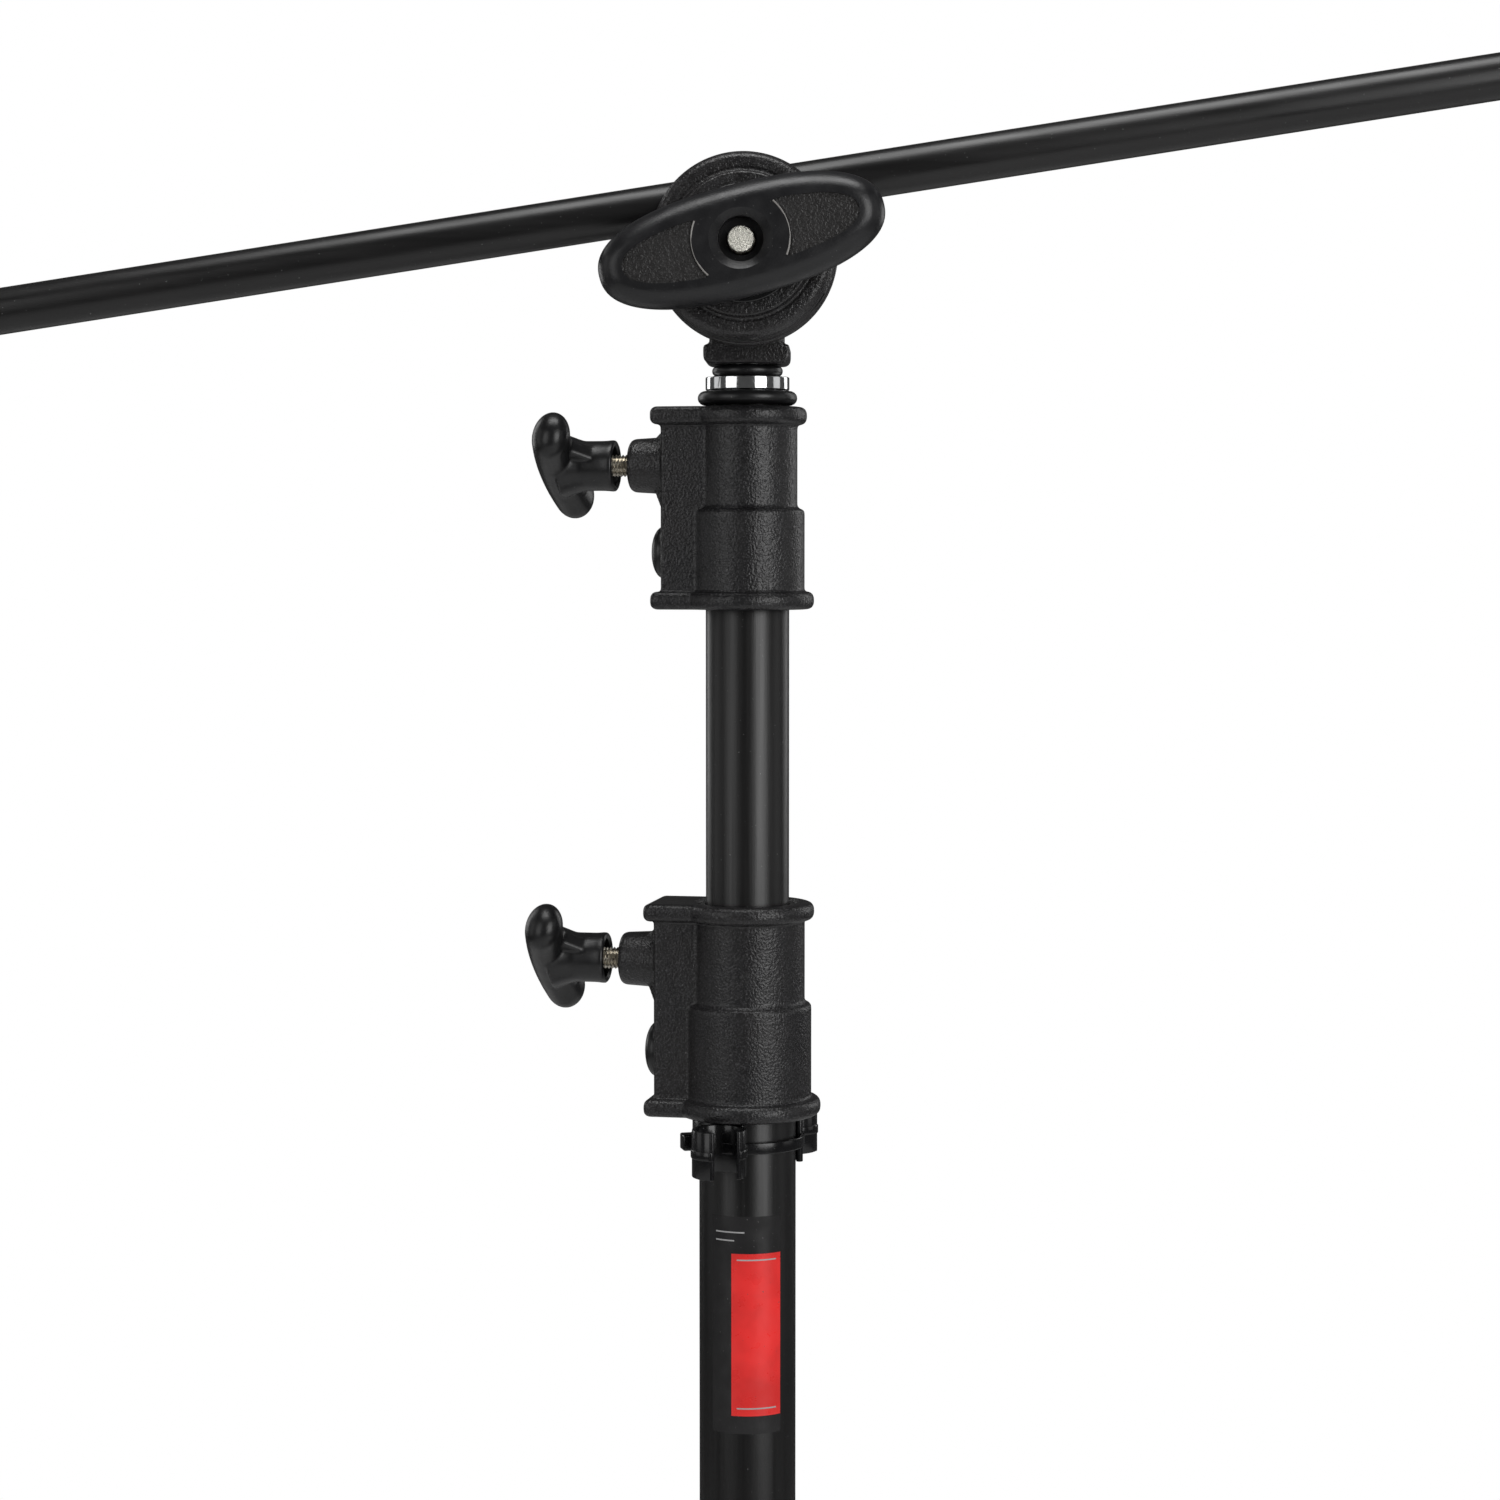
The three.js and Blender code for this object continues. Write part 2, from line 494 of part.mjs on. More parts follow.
function handleBody() {
  const { back, front, halfLength, halfWidth, power, edge, hubR } = HANDLE;
  const outline = new THREE.Shape();
  const points = 32;
  for (let i = 0; i < points; i++) {
    const angle = (2 * Math.PI * i) / points;
    const [c, s] = [Math.cos(angle), Math.sin(angle)];
    const x = Math.sign(c) * Math.abs(c) ** (2 / power) * (halfLength - edge);
    const z = Math.sign(s) * Math.abs(s) ** (2 / power) * (halfWidth - edge);
    if (i === 0) outline.moveTo(x, z);
    else outline.lineTo(x, z);
  }
  const wing = plate(outline, back - 1.7, front, { bevelThickness: edge, bevelSize: edge, bevelSegments: 3 });
  const hub = drumBack(hubR, back - edge, back, 0, 24);
  const recess = drumBack(RECESS.r, front - PAST, RECESS.bottom, 0, 20);
  const mouth = drumBack(RECESS.mouthR + 1, front - PAST, front + RECESS.mouthDepth, 0, 20, RECESS.r);
  const boltWay = drumBack(BOLT.r + GAP, RECESS.bottom - PAST, back + PAST);
  const nutWay = drumBack(8.6, back - 5.6, back + PAST, 0, 6);
  return cut(join(wing, hub), recess, mouth, boltWay, nutWay);
}

function handleNut() {
  const hexagon = drumBack(8.2, HANDLE.back - 5.2, HANDLE.back - 0.2, 0, 6);
  return cut(hexagon, drumBack(BOLT.r + GAP, HANDLE.back - 8, HANDLE.back + 2));
}

function jawSpring() {
  const reach = JAW.well.depth - GAP - 1;
  const length = reach + (JAW.rearFront - JAW.frontBack) / 2;
  return coil(7.4, 0.9, -length + 1, length - 1, 3).rotateX(-Math.PI / 2).translate(0, JAW.parting, 0);
}

// Everything that turns on the bolt's axis, in a frame turned so that rods lie along X.
function jawSet(group, prefix, handleAngle) {
  const { rearBack, rearFront, frontBack, frontFront, bossFront, well } = JAW;
  const rear = jaw(rearBack, rearFront, rearFront - PAST, rearFront + well.depth);
  const front = jaw(frontBack, frontFront, frontBack - well.depth, frontBack + PAST, bossFront);
  add(group, `${prefix}_rear_jaw`, rear, "casting");
  add(group, `${prefix}_front_jaw`, front, "casting");
  add(group, `${prefix}_jaw_spring`, jawSpring(), "zinc");
  add(group, `${prefix}_bolt`, headBolt(), "zinc");
  const washerHole = drumBack(BOLT.r + GAP, WASHER.front - PAST, WASHER.back + PAST);
  const washer = cut(drumBack(WASHER.r, WASHER.front, WASHER.back, 0, 28), washerHole);
  add(group, `${prefix}_washer`, washer, "nylon");
  const turn = branch(group, { aboutY: -handleAngle });
  add(turn, `${prefix}_handle`, handleBody(), "handle");
  add(turn, `${prefix}_handle_nut`, handleNut(), "zinc");
}

const head = branch(stand, { z: HEAD_Z });
add(head, "head_body", headBody(PIN.r, true), "casting");
const lockKnob = branch(head, { aboutZ: -90 });
clampSet(lockKnob, "head_lock", { riser: PIN.r, bossReach: HEAD.lockReach, bossZ: HEAD.lockZ, wingLean: 0 });

const armJaws = branch(head, { aboutY: -ARM_ANGLE });
jawSet(armJaws, "head", HANDLE_ANGLE - ARM_ANGLE);

// ---------------------------------------------------------------- grip arm
const armStart = ARM.headX + HEAD.footZ + ARM.inSocket - ARM.length;
const arm = branch(armJaws, { x: armStart, y: JAW.parting, z: BIG_GROOVE.z });
const armRod = tube(ARM.r, ARM.wall, 0, ARM.length, 28).rotateY(Math.PI / 2);
add(arm, "arm_rod", armRod, "tube");

function armCap() {
  const inner = ARM.r - ARM.wall - GAP;
  const dome = [[0, -3], [5, -3], [ARM.r - 0.8, -2.2], [ARM.r, -0.8], [ARM.r, -GAP]];
  return turned([...dome, [inner, -GAP], [inner, 14], [0, 14]], 20).rotateY(Math.PI / 2);
}
add(arm, "arm_end_cap", armCap(), "rubber");

const armHead = branch(arm, { x: ARM.headX - armStart, aboutY: 90 });
add(armHead, "arm_head_body", headBody(ARM.r, false), "casting");
const rivetTop = [HEAD.half + 0.4, HEAD.half + 1.6];
const rivetShank = drumBack(2, ARM.r + 0.6, HEAD.half + PAST, HEAD.lockZ, 12);
const rivet = join(rivetShank, drumBack(3.6, ...rivetTop, HEAD.lockZ, 16, 2.6));
add(armHead, "arm_head_rivet", rivet, "zinc");
jawSet(branch(armHead, { aboutY: ARM_ANGLE }), "arm_head", 20);

export default stand;
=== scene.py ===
"""Finished looks of a black studio grip stand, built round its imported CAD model.

Shapes are worked out in millimetres and put down in metres, in the model's own frame: +Z up, the head's jaws
towards -Y, the clamp knobs towards -X, the grip arm rising towards +X.
"""
import json
import math

import bmesh
import bpy
from mathutils import Matrix, Vector


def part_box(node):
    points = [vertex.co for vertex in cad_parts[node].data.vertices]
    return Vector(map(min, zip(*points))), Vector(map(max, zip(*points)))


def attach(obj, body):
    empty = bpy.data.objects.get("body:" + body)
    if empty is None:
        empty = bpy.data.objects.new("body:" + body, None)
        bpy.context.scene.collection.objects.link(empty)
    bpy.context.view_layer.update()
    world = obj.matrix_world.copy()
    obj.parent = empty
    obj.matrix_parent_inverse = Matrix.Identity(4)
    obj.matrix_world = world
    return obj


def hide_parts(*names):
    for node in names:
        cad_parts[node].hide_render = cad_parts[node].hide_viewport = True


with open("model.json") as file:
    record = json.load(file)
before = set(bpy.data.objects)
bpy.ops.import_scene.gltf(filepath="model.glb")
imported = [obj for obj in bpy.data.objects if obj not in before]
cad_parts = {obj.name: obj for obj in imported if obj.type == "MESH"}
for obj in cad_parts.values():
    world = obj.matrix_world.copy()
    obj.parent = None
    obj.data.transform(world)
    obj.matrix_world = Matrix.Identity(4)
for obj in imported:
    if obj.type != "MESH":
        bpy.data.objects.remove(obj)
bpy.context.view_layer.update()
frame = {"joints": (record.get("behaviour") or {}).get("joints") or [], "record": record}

MM = 0.001
GAP = 0.3  # clearance between two pieces, in millimetres
RECORD = frame["record"]
JOINTS = {joint["name"]: joint for joint in frame["joints"]}
BODY_OF = {node: body for body, nodes in RECORD["behaviour"]["bodies"].items() for node in nodes}
UP, BACK, RIGHT = Vector((0, 0, 1)), Vector((0, 1, 0)), Vector((1, 0, 0))


# ---------------------------------------------------------------- places, from the frame
def node_box(node):
    """The CAD node's lowest and highest corners, in millimetres."""
    low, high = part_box(node)
    return low / MM, high / MM


def joint_point(name):
    return Vector(JOINTS[name]["pos_m"]) / MM


def joint_axis(name):
    return Vector(JOINTS[name]["axis"]).normalized()


def tube_radius(node):
    low, high = node_box(node)
    return (high.y - low.y) / 2


def axes_at(origin, x, y, z):
    """A matrix that puts local millimetres at origin, along three axes of the frame."""
    turn = Matrix((x, y, z)).transposed().to_4x4()
    return Matrix.Translation(origin) @ turn


def along(origin, direction):
    """A matrix that lays local +Z along a direction."""
    z = Vector(direction).normalized()
    x = (UP if abs(z.z) < 0.9 else RIGHT).cross(z).normalized()
    return axes_at(origin, x, z.cross(x), z)


# ---------------------------------------------------------------- mesh tools, in millimetres
def mesh_object(name, points, faces):
    mesh = bpy.data.meshes.new(name)
    mesh.from_pydata([Vector(p) * MM for p in points], [], faces)
    work = bmesh.new()
    work.from_mesh(mesh)
    bmesh.ops.recalc_face_normals(work, faces=work.faces)
    work.to_mesh(mesh)
    work.free()
    made = bpy.data.objects.new(name, mesh)
    bpy.context.scene.collection.objects.link(made)
    return made


def put(shape, matrix):
    """Places a shape whose vertices are in scaled millimetres by a matrix that is in millimetres."""
    scaled = matrix.copy()
    scaled.translation = matrix.translation * MM
    shape.data.transform(scaled)
    return shape


def applied(shape):
    """Turns a shape's modifiers into its own mesh."""
    graph = bpy.context.evaluated_depsgraph_get()
    mesh = bpy.data.meshes.new_from_object(shape.evaluated_get(graph))
    shape.modifiers.clear()
    shape.data = mesh
    return shape


def joined(name, *shapes):
    """One object from several, each keeping its own material numbers."""
    work = bmesh.new()
    for shape in shapes:
        work.from_mesh(shape.data)
    mesh = bpy.data.meshes.new(name)
    work.to_mesh(mesh)
    work.free()
    for shape in shapes:
        bpy.data.objects.remove(shape)
    made = bpy.data.objects.new(name, mesh)
    bpy.context.scene.collection.objects.link(made)
    return made


def melted(name, voxel, passes, *shapes):
    """The union of overlapping shapes, with the soft inner corners of a casting or moulding."""
    made = joined(name, *shapes)
    remesh = made.modifiers.new("union", "REMESH")
    remesh.mode = "VOXEL"
    remesh.voxel_size = voxel * MM
    smooth = made.modifiers.new("soften", "SMOOTH")
    smooth.factor = 0.5
    smooth.iterations = passes
    return applied(made)


def cut(shape, *tools):
    for tool in tools:
        boolean = shape.modifiers.new("cut", "BOOLEAN")
        boolean.operation = "DIFFERENCE"
        boolean.solver = "MANIFOLD"
        boolean.material_mode = "TRANSFER"
        boolean.object = tool
        applied(shape)
        bpy.data.objects.remove(tool)
    return shape


def bevelled(shape, width, segments=3, angle=30):
    bevel = shape.modifiers.new("bevel", "BEVEL")
    bevel.width = width * MM
    bevel.segments = segments
    bevel.limit_method = "ANGLE"
    bevel.angle_limit = math.radians(angle)
    return applied(shape)


def rounded(points, radius, steps=5):
    """An open outline with its inner corners eased. A third number on a point is that corner's own radius."""
    made = [Vector(points[0][:2])]
    for before, here, after in zip(points, points[1:], points[2:]):
        corner = Vector(here[:2])
        own = here[2] if len(here) > 2 else radius
        arms = [Vector(before[:2]) - corner, Vector(after[:2]) - corner]
        reach = min([own] + [arm.length * 0.48 for arm in arms])
        if reach < 0.02:
            made.append(corner)
            continue
        start, end = [corner + arm.normalized() * reach for arm in arms]
        for i in range(steps + 1):
            t = i / steps
            made.append(start * (1 - t) ** 2 + corner * (2 * t * (1 - t)) + end * t ** 2)
    made.append(Vector(points[-1][:2]))
    return made


def revolved(name, profile, steps=96, loop=False):
    """A turned shape round local Z from (radius, height) points: open from axis to axis, or a closed loop."""
    points, rings = [], []
    for radius, height in profile:
        if radius < 1e-6:
            rings.append([len(points)] * steps)
            points.append((0, 0, height))
            continue
        rings.append(list(range(len(points), len(points) + steps)))
        for i in range(steps):
            angle = 2 * math.pi * i / steps
            points.append((radius * math.cos(angle), radius * math.sin(angle), height))
    faces = []
    for low, high in zip(rings, rings[1:] + rings[:1] if loop else rings[1:]):
        for i in range(steps):
            j = (i + 1) % steps
            corners = []
            for corner in (low[i], low[j], high[j], high[i]):
                if corner not in corners:
                    corners.append(corner)
            if len(corners) > 2:
                faces.append(corners)
    return mesh_object(name, points, faces)


def rod(name, radius, low, high, edge=0.4, steps=64, end_radius=None):
    """A solid round bar along local Z."""
    top = radius if end_radius is None else end_radius
    return revolved(name, rounded([(0, low), (radius, low), (top, high), (0, high)], edge), steps)


def pipe(name, radius, wall, low, high, edge=0.3, steps=128):
    inner = radius - wall
    middle = (low + high) / 2
    outline = [(inner, middle), (inner, low), (radius, low), (radius, high), (inner, high), (inner, middle)]
    return revolved(name, rounded(outline, edge, 3)[:-1], steps, loop=True)


def prism(name, outline, low, high):
    """An outline in local XY, between two heights."""
    count = len(outline)
    points = [(x, y, low) for x, y in outline] + [(x, y, high) for x, y in outline]
    sides = [(i, (i + 1) % count, count + (i + 1) % count, count + i) for i in range(count)]
    caps = [tuple(reversed(range(count))), tuple(range(count, 2 * count))]
    return mesh_object(name, points, sides + caps)


def block(name, low, high, edge=0.0, segments=3):
    outline = [(low[0], low[1]), (high[0], low[1]), (high[0], high[1]), (low[0], high[1])]
    made = prism(name, outline, low[2], high[2])
    return bevelled(made, edge, segments) if edge else made


def skinned(name, points, around):
    """A closed skin over rings of points, with as many in each ring, and a flat face over each end."""
    last = len(points) - around
    faces = []
    for row in range(0, last, around):
        for i in range(around):
            j = (i + 1) % around
            faces.append([row + i, row + j, row + around + j, row + around + i])
    faces += [list(range(around)), [last + i for i in range(around)]]
    return mesh_object(name, points, faces)


def swept(name, path, radius, around=32):
    """A round bar along a list of points."""
    points = []
    tangents = [(b - a).normalized() for a, b in zip(path, path[1:])]
    tangents.append(tangents[-1])
    side = tangents[0].orthogonal().normalized()
    for centre, tangent in zip(path, tangents):
        side = (side - tangent * side.dot(tangent)).normalized()
        other = tangent.cross(side)
        for i in range(around):
            angle = 2 * math.pi * i / around
            points.append(centre + (side * math.cos(angle) + other * math.sin(angle)) * radius)
    return skinned(name, points, around)


def threaded(name, radius, pitch, low, high):
    """A rod with a real helical thread, along local Z."""
    steps = 36
    depth = 0.6 * pitch
    rows = max(2, round((high - low) / pitch * 8))
    points = []
    for row in range(rows + 1):
        height = low + (high - low) * row / rows
        ease = min(1.0, (high - height) / pitch, (height - low) / pitch)
        for i in range(steps):
            phase = (height / pitch - i / steps) % 1.0
            r = radius - depth * (1 - ease) - depth * ease * abs(2 * phase - 1)
            angle = 2 * math.pi * i / steps
            points.append((r * math.cos(angle), r * math.sin(angle), height))
    return skinned(name, points, steps)


def in_material(shape, number):
    """Gives all of a shape's faces one of the material numbers of the piece that it joins."""
    for polygon in shape.data.polygons:
        polygon.material_index = number


def paint(shape, *materials):
    """Gives a shape its materials, and keeps which face uses which."""
    indices = [polygon.material_index for polygon in shape.data.polygons]
    shape.data.materials.clear()
    for finish in materials:
        shape.data.materials.append(finish)
    shape.data.polygons.foreach_set("material_index", [min(i, len(materials) - 1) for i in indices])


def stands_for(shape, node, *materials, sharp=38):
    """Finishes a shape: smooth shading, materials, the body it rides on, and the CAD node it replaces."""
    shape.name = shape.data.name = node + "_detail"
    paint(shape, *materials)
    shape.data.shade_smooth()
    shape.data.set_sharp_from_angle(angle=math.radians(sharp))
    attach(shape, BODY_OF[node])
    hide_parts(node)
    return shape


# ---------------------------------------------------------------- materials
class Finish:
    """A node material on one Principled shader. Sizes of its patterns are in millimetres."""

    def __init__(self, name, color, roughness, metallic=0.0):
        self.material = bpy.data.materials.new(name)
        self.material.use_nodes = True
        self.tree = self.material.node_tree
        self.shader = self.tree.nodes["Principled BSDF"]
        self.color = (*color, 1)
        self.shader.inputs["Base Color"].default_value = self.color
        self.shader.inputs["Roughness"].default_value = roughness
        self.shader.inputs["Metallic"].default_value = metallic
        self.roughness = roughness
        self.place = self.add("ShaderNodeTexCoord").outputs["Object"]
        self.color_out = None
        self.normal_out = None

    def add(self, kind):
        return self.tree.nodes.new(kind)

    def link(self, start, end):
        self.tree.links.new(start, end)

    def noise(self, size, detail, stretch=(1, 1, 1)):
        """A noise with features of about one size, drawn out along the axes by stretch."""
        scale = self.add("ShaderNodeVectorMath")
        scale.operation = "MULTIPLY"
        scale.inputs[1].default_value = [1 / (size * MM * s) for s in stretch]
        self.link(self.place, scale.inputs[0])
        texture = self.add("ShaderNodeTexNoise")
        texture.inputs["Scale"].default_value = 1.0
        texture.inputs["Detail"].default_value = detail
        self.link(scale.outputs[0], texture.inputs["Vector"])
        return texture.outputs[0]

    def ranged(self, value, low, high, to_low, to_high):
        node = self.add("ShaderNodeMapRange")
        for key, number in zip(("From Min", "From Max", "To Min", "To Max"), (low, high, to_low, to_high)):
            node.inputs[key].default_value = number
        self.link(value, node.inputs["Value"])
        return node.outputs["Result"]

    def tint(self, factor, color):
        """Mixes a colour over what is there already, by a factor from 0 to 1."""
        mix = self.add("ShaderNodeMix")
        mix.data_type = "RGBA"
        self.link(factor, mix.inputs["Factor"])
        if self.color_out is None:
            mix.inputs["A"].default_value = self.color
        else:
            self.link(self.color_out, mix.inputs["A"])
        mix.inputs["B"].default_value = (*color, 1)
        self.color_out = mix.outputs["Result"]
        self.link(self.color_out, self.shader.inputs["Base Color"])
        return self

    def mottle(self, size, color, strength=1.0):
        return self.tint(self.ranged(self.noise(size, 3), 0.35, 0.7, 0, strength), color)

    def speckle(self, size, color, share):
        """Sparse small marks: the higher the share, the more of them."""
        return self.tint(self.ranged(self.noise(size, 1), 0.78 - share, 0.8 - share, 0, 1), color)

    def edges(self, color, strength):
        """Wear on convex edges, where pointiness is over 0.5."""
        worn = self.ranged(self.add("ShaderNodeNewGeometry").outputs["Pointiness"], 0.53, 0.62, 0, strength)
        return self.tint(worn, color)

    def gloss(self, size, spread, stretch=(1, 1, 1)):
        """Uneven roughness, such as handling marks."""
        value = self.ranged(self.noise(size, 3, stretch), 0.3, 0.7, self.roughness - spread,
                            self.roughness + spread)
        self.link(value, self.shader.inputs["Roughness"])
        return self

    def bump(self, size, depth, detail=2.0, stretch=(1, 1, 1)):
        """Relief with features of one size and a depth, both in millimetres."""
        node = self.add("ShaderNodeBump")
        node.inputs["Strength"].default_value = 1.0
        node.inputs["Distance"].default_value = depth * MM
        self.link(self.noise(size, detail, stretch), node.inputs["Height"])
        if self.normal_out is not None:
            self.link(self.normal_out, node.inputs["Normal"])
        self.normal_out = node.outputs["Normal"]
        self.link(self.normal_out, self.shader.inputs["Normal"])
        return self


def satin_paint(name, stretch):
    """Smooth satin black paint on a drawn steel tube, with fine rub marks along it."""
    finish = Finish(name, (0.0045, 0.0043, 0.0045), 0.34)
    finish.mottle(60, (0.0085, 0.008, 0.008), 0.8)
    finish.speckle(0.9, (0.1, 0.1, 0.1), 0.012)
    finish.gloss(7, 0.06, stretch)
    finish.bump(1.6, 0.015, 2, stretch).bump(0.45, 0.012, 1)
    return finish.material


def powder_coat():
    finish = Finish("textured_powder_coat", (0.009, 0.0088, 0.0096), 0.33)
    finish.mottle(30, (0.013, 0.0115, 0.0115), 0.9)
    # painted highlight: pale specks over about a fifth of the coat stand in for glints off its grain
    finish.speckle(0.6, (0.03, 0.029, 0.031), 0.2)
    finish.edges((0.035, 0.035, 0.037), 0.35)
    finish.speckle(0.7, (0.14, 0.14, 0.14), 0.02)
    finish.gloss(4, 0.05)
    finish.bump(0.85, 0.3, 1).bump(0.4, 0.04, 1)
    return finish.material


def moulded(name, color, roughness, grain, depth):
    finish = Finish(name, color, roughness)
    finish.mottle(18, tuple(c * 1.5 for c in color), 0.8)
    finish.speckle(0.8, (0.1, 0.1, 0.1), 0.012)
    finish.gloss(5, 0.05)
    finish.bump(grain, depth, 2)
    return finish.material


def turned_metal(name, color, roughness, depth=0.004):
    finish = Finish(name, color, roughness, 1.0)
    finish.mottle(3, tuple(c * 0.82 for c in color), 0.6)
    finish.gloss(1.2, min(0.05, roughness * 0.4))
    finish.bump(0.5, depth, 2)
    return finish.material


TUBE_PAINT = satin_paint("satin_black_tube", (0.25, 0.25, 14))
ARM_PAINT = satin_paint("satin_black_arm", (14, 0.25, 0.6))
CASTING = powder_coat()
KNOB = moulded("smooth_black_knob", (0.0055, 0.0055, 0.006), 0.34, 1.1, 0.03)
HANDLE = moulded("satin_black_handle", (0.0065, 0.0065, 0.0075), 0.36, 0.7, 0.05)
HANDLE_PANEL = moulded("grained_handle_panel", (0.0115, 0.0106, 0.0104), 0.38, 0.9, 0.42)
# painted highlight: the pale grey of the panel beads stands in for light caught on the panels' edges
HANDLE_BEAD_PAINTED_HIGHLIGHT = moulded("handle_bead_painted_highlight", (0.22, 0.21, 0.2), 0.34, 1, 0.01)
RUBBER = moulded("black_rubber", (0.007, 0.007, 0.0075), 0.34, 1.2, 0.02)
SOLE_RUBBER = moulded("matt_sole_rubber", (0.012, 0.012, 0.012), 0.6, 0.8, 0.06)
NYLON = moulded("glossy_black_nylon", (0.006, 0.006, 0.0065), 0.2, 1.5, 0.01)
CHROME = turned_metal("polished_chrome", (0.88, 0.89, 0.9), 0.09, 0.001)
ZINC = turned_metal("zinc_plate", (0.6, 0.56, 0.48), 0.3, 0.03)
BOLT_END = turned_metal("sawn_bolt_end", (0.8, 0.78, 0.7), 0.3, 0.6)
BRASS = turned_metal("bare_brass", (0.72, 0.5, 0.22), 0.26, 0.02)
FILM = moulded("dark_label_film", (0.022, 0.0215, 0.022), 0.22, 3, 0.004)
FILM_RED = moulded("red_label_print", (0.8, 0.032, 0.03), 0.3, 3, 0.004)
FILM_RULE = moulded("pale_label_rule", (0.42, 0.42, 0.42), 0.3, 3, 0.004)

# ---------------------------------------------------------------- column and risers
COLUMN_R = tube_radius("column_tube")


def upright_tube(node, wall):
    low, high = node_box(node)
    stands_for(pipe(node, tube_radius(node), wall, low.z, high.z), node, TUBE_PAINT)


def glide(node):
    """The nylon collar at a riser's lower end, with two grease grooves."""
    low, high = node_box(node)
    outer = (high.x - low.x) / 2
    shoulder = low.z + 23.7
    inner = outer - 5
    outline = [(inner, low.z + 10), (inner, low.z), (outer, low.z)]
    for groove in (7, 15):
        outline += [(outer, low.z + groove), (outer - 0.8, low.z + groove + 0.8),
                    (outer - 0.8, low.z + groove + 1.6), (outer, low.z + groove + 2.4)]
    outline += [(outer, shoulder), (inner + 1.5, shoulder), (inner + 1.5, high.z), (inner, high.z),
                (inner, low.z + 10)]
    stands_for(revolved(node, rounded(outline, 0.4, 3)[:-1], loop=True), node, NYLON)


def column_plug():
    low, high = node_box("column_plug")
    outer = (high.x - low.x) / 2
    flange = low.z + 5.7
    outline = [(0, low.z + 0.6), (10, low.z + 0.6), (11, low.z), (15, low.z), (outer, low.z + 2),
               (outer, flange), (outer - 1.9, flange), (outer - 1.9, high.z), (0, high.z)]
    stands_for(revolved("column_plug", rounded(outline, 0.7)), "column_plug", SOLE_RUBBER)


for tube_node, tube_wall in (("column_tube", 1.5), ("riser_mid_tube", 1.2), ("riser_top_tube", 1.2)):
    upright_tube(tube_node, tube_wall)
glide("riser_mid_glide")
glide("riser_top_glide")
column_plug()

# ---------------------------------------------------------------- clamp castings
CLAMPS = {
    "lower": {"tube": "column_tube", "riser": "riser_mid_tube", "low_r": 23.1, "high_r": 20.7, "lean": 52,
              "shoulder": 40.1, "reach": 32.1, "half": 13, "boss": 46.5, "plug": 22.6},
    "upper": {"tube": "riser_mid_tube", "riser": "riser_top_tube", "low_r": 20.5, "high_r": 17.9, "lean": 60,
              "shoulder": 35.5, "reach": 29.4, "half": 12.5, "boss": 42.8, "plug": 20.3},
}
LIP, LIP_HEIGHT = 3.4, 6.4
SCREW_R, SCREW_PITCH = 4, 1.25
PAD_R, PAD_LENGTH = 5, 5.2
KNOB_GAP, KNOB_HUB_R, KNOB_HUB_LENGTH = 5.2, 9.5, 13


def casting_lip(shape, barrel, low):
    """The rounded rim round a casting's end: one turn round the barrel and one round the block."""
    high = low + LIP_HEIGHT
    soft = LIP_HEIGHT * 0.46
    radius = barrel + LIP
    turned = revolved("lip", rounded([(0, low), (radius, low), (radius, high), (0, high)], soft, 8), 128)
    reach, half = shape["reach"] + LIP, shape["half"] + LIP
    squared = block("lip", (-reach, -half, low), (0, half, high), soft * 0.8, 5)
    return [turned, squared]


def casting(side):
    shape = CLAMPS[side]
    node = side + "_casting"
    low, high = node_box(node)
    bottom, top, shoulder = low.z, high.z, low.z + shape["shoulder"]
    reach, half = shape["reach"], shape["half"]
    boss_z = joint_point(side + "_knob_turn").z
    left = along((0, 0, boss_z), (-1, 0, 0))
    barrel = rounded([(0, bottom + 2), (shape["low_r"], bottom + 2), (shape["low_r"], shoulder, 3.2),
                      (shape["high_r"], shoulder + 0.8, 1.2), (shape["high_r"], top - 2), (0, top - 2)], 0.4)
    parts = [revolved("barrel", barrel, 128)]
    parts.append(block("block", (-reach, -half, bottom + 2), (0, half, top - 2), 0.9, 2))
    parts += casting_lip(shape, shape["low_r"], bottom)
    parts += casting_lip(shape, shape["high_r"], top - LIP_HEIGHT)
    boss = rounded([(0, 5), (10.4, reach - 2), (9.5, shape["boss"], 2.6), (0, shape["boss"])], 0.5)
    parts.append(put(revolved("boss", boss, 64), left))
    for way, length in ((1, 15), (-1, 24)):
        web = [(-reach + 2, boss_z + way * length), (-reach + 2, boss_z), (-reach - 3.4, boss_z),
               (-reach - 3.4, boss_z + way * 9.5)]
        plate = prism("web", web, -5.5, 5.5)
        parts.append(put(plate, Matrix.Rotation(math.pi / 2, 4, "X")))
    made = melted(node, 0.5, 4, *parts)
    bore = tube_radius(shape["tube"]) + 0.4
    wide = bore + 1.2
    bore_outline = [(0, bottom - 3), (wide, bottom - 3), (wide, bottom + 0.1), (bore, bottom + 1.3),
                    (bore, top - 1.3), (wide, top - 0.1), (wide, top + 3), (0, top + 3)]
    screw_way = rod("way", SCREW_R + GAP, 0, shape["boss"] + 5, 0)
    seat = put(rod("seat", 4.4, reach - 6, reach + 3, 0), along((0, 0, bottom + shape["plug"]), (-1, 0, 0)))
    cut(made, revolved("bore", bore_outline, 128), put(screw_way, left), seat)
    put(made, clamp_frame(side))
    stands_for(made, node, CASTING)


def clamp_frame(side):
    """A casting's own frame: local -X points along its screw."""
    left = joint_axis(side + "_knob_turn")
    return axes_at((0, 0, 0), -left, UP.cross(-left), UP)


def casting_bush(side):
    node = side + "_bush"
    low, high = node_box(node)
    inner = tube_radius(CLAMPS[side]["riser"]) + GAP
    outer = (high.y - low.y) / 2
    made = pipe(node, outer, outer - inner, low.z, high.z, 0.4)
    boss_z = joint_point(side + "_knob_turn").z
    cut(made, put(rod("way", 5.3, 0, 60, 0), along((0, 0, boss_z), joint_axis(side + "_knob_turn"))))
    stands_for(made, node, NYLON)


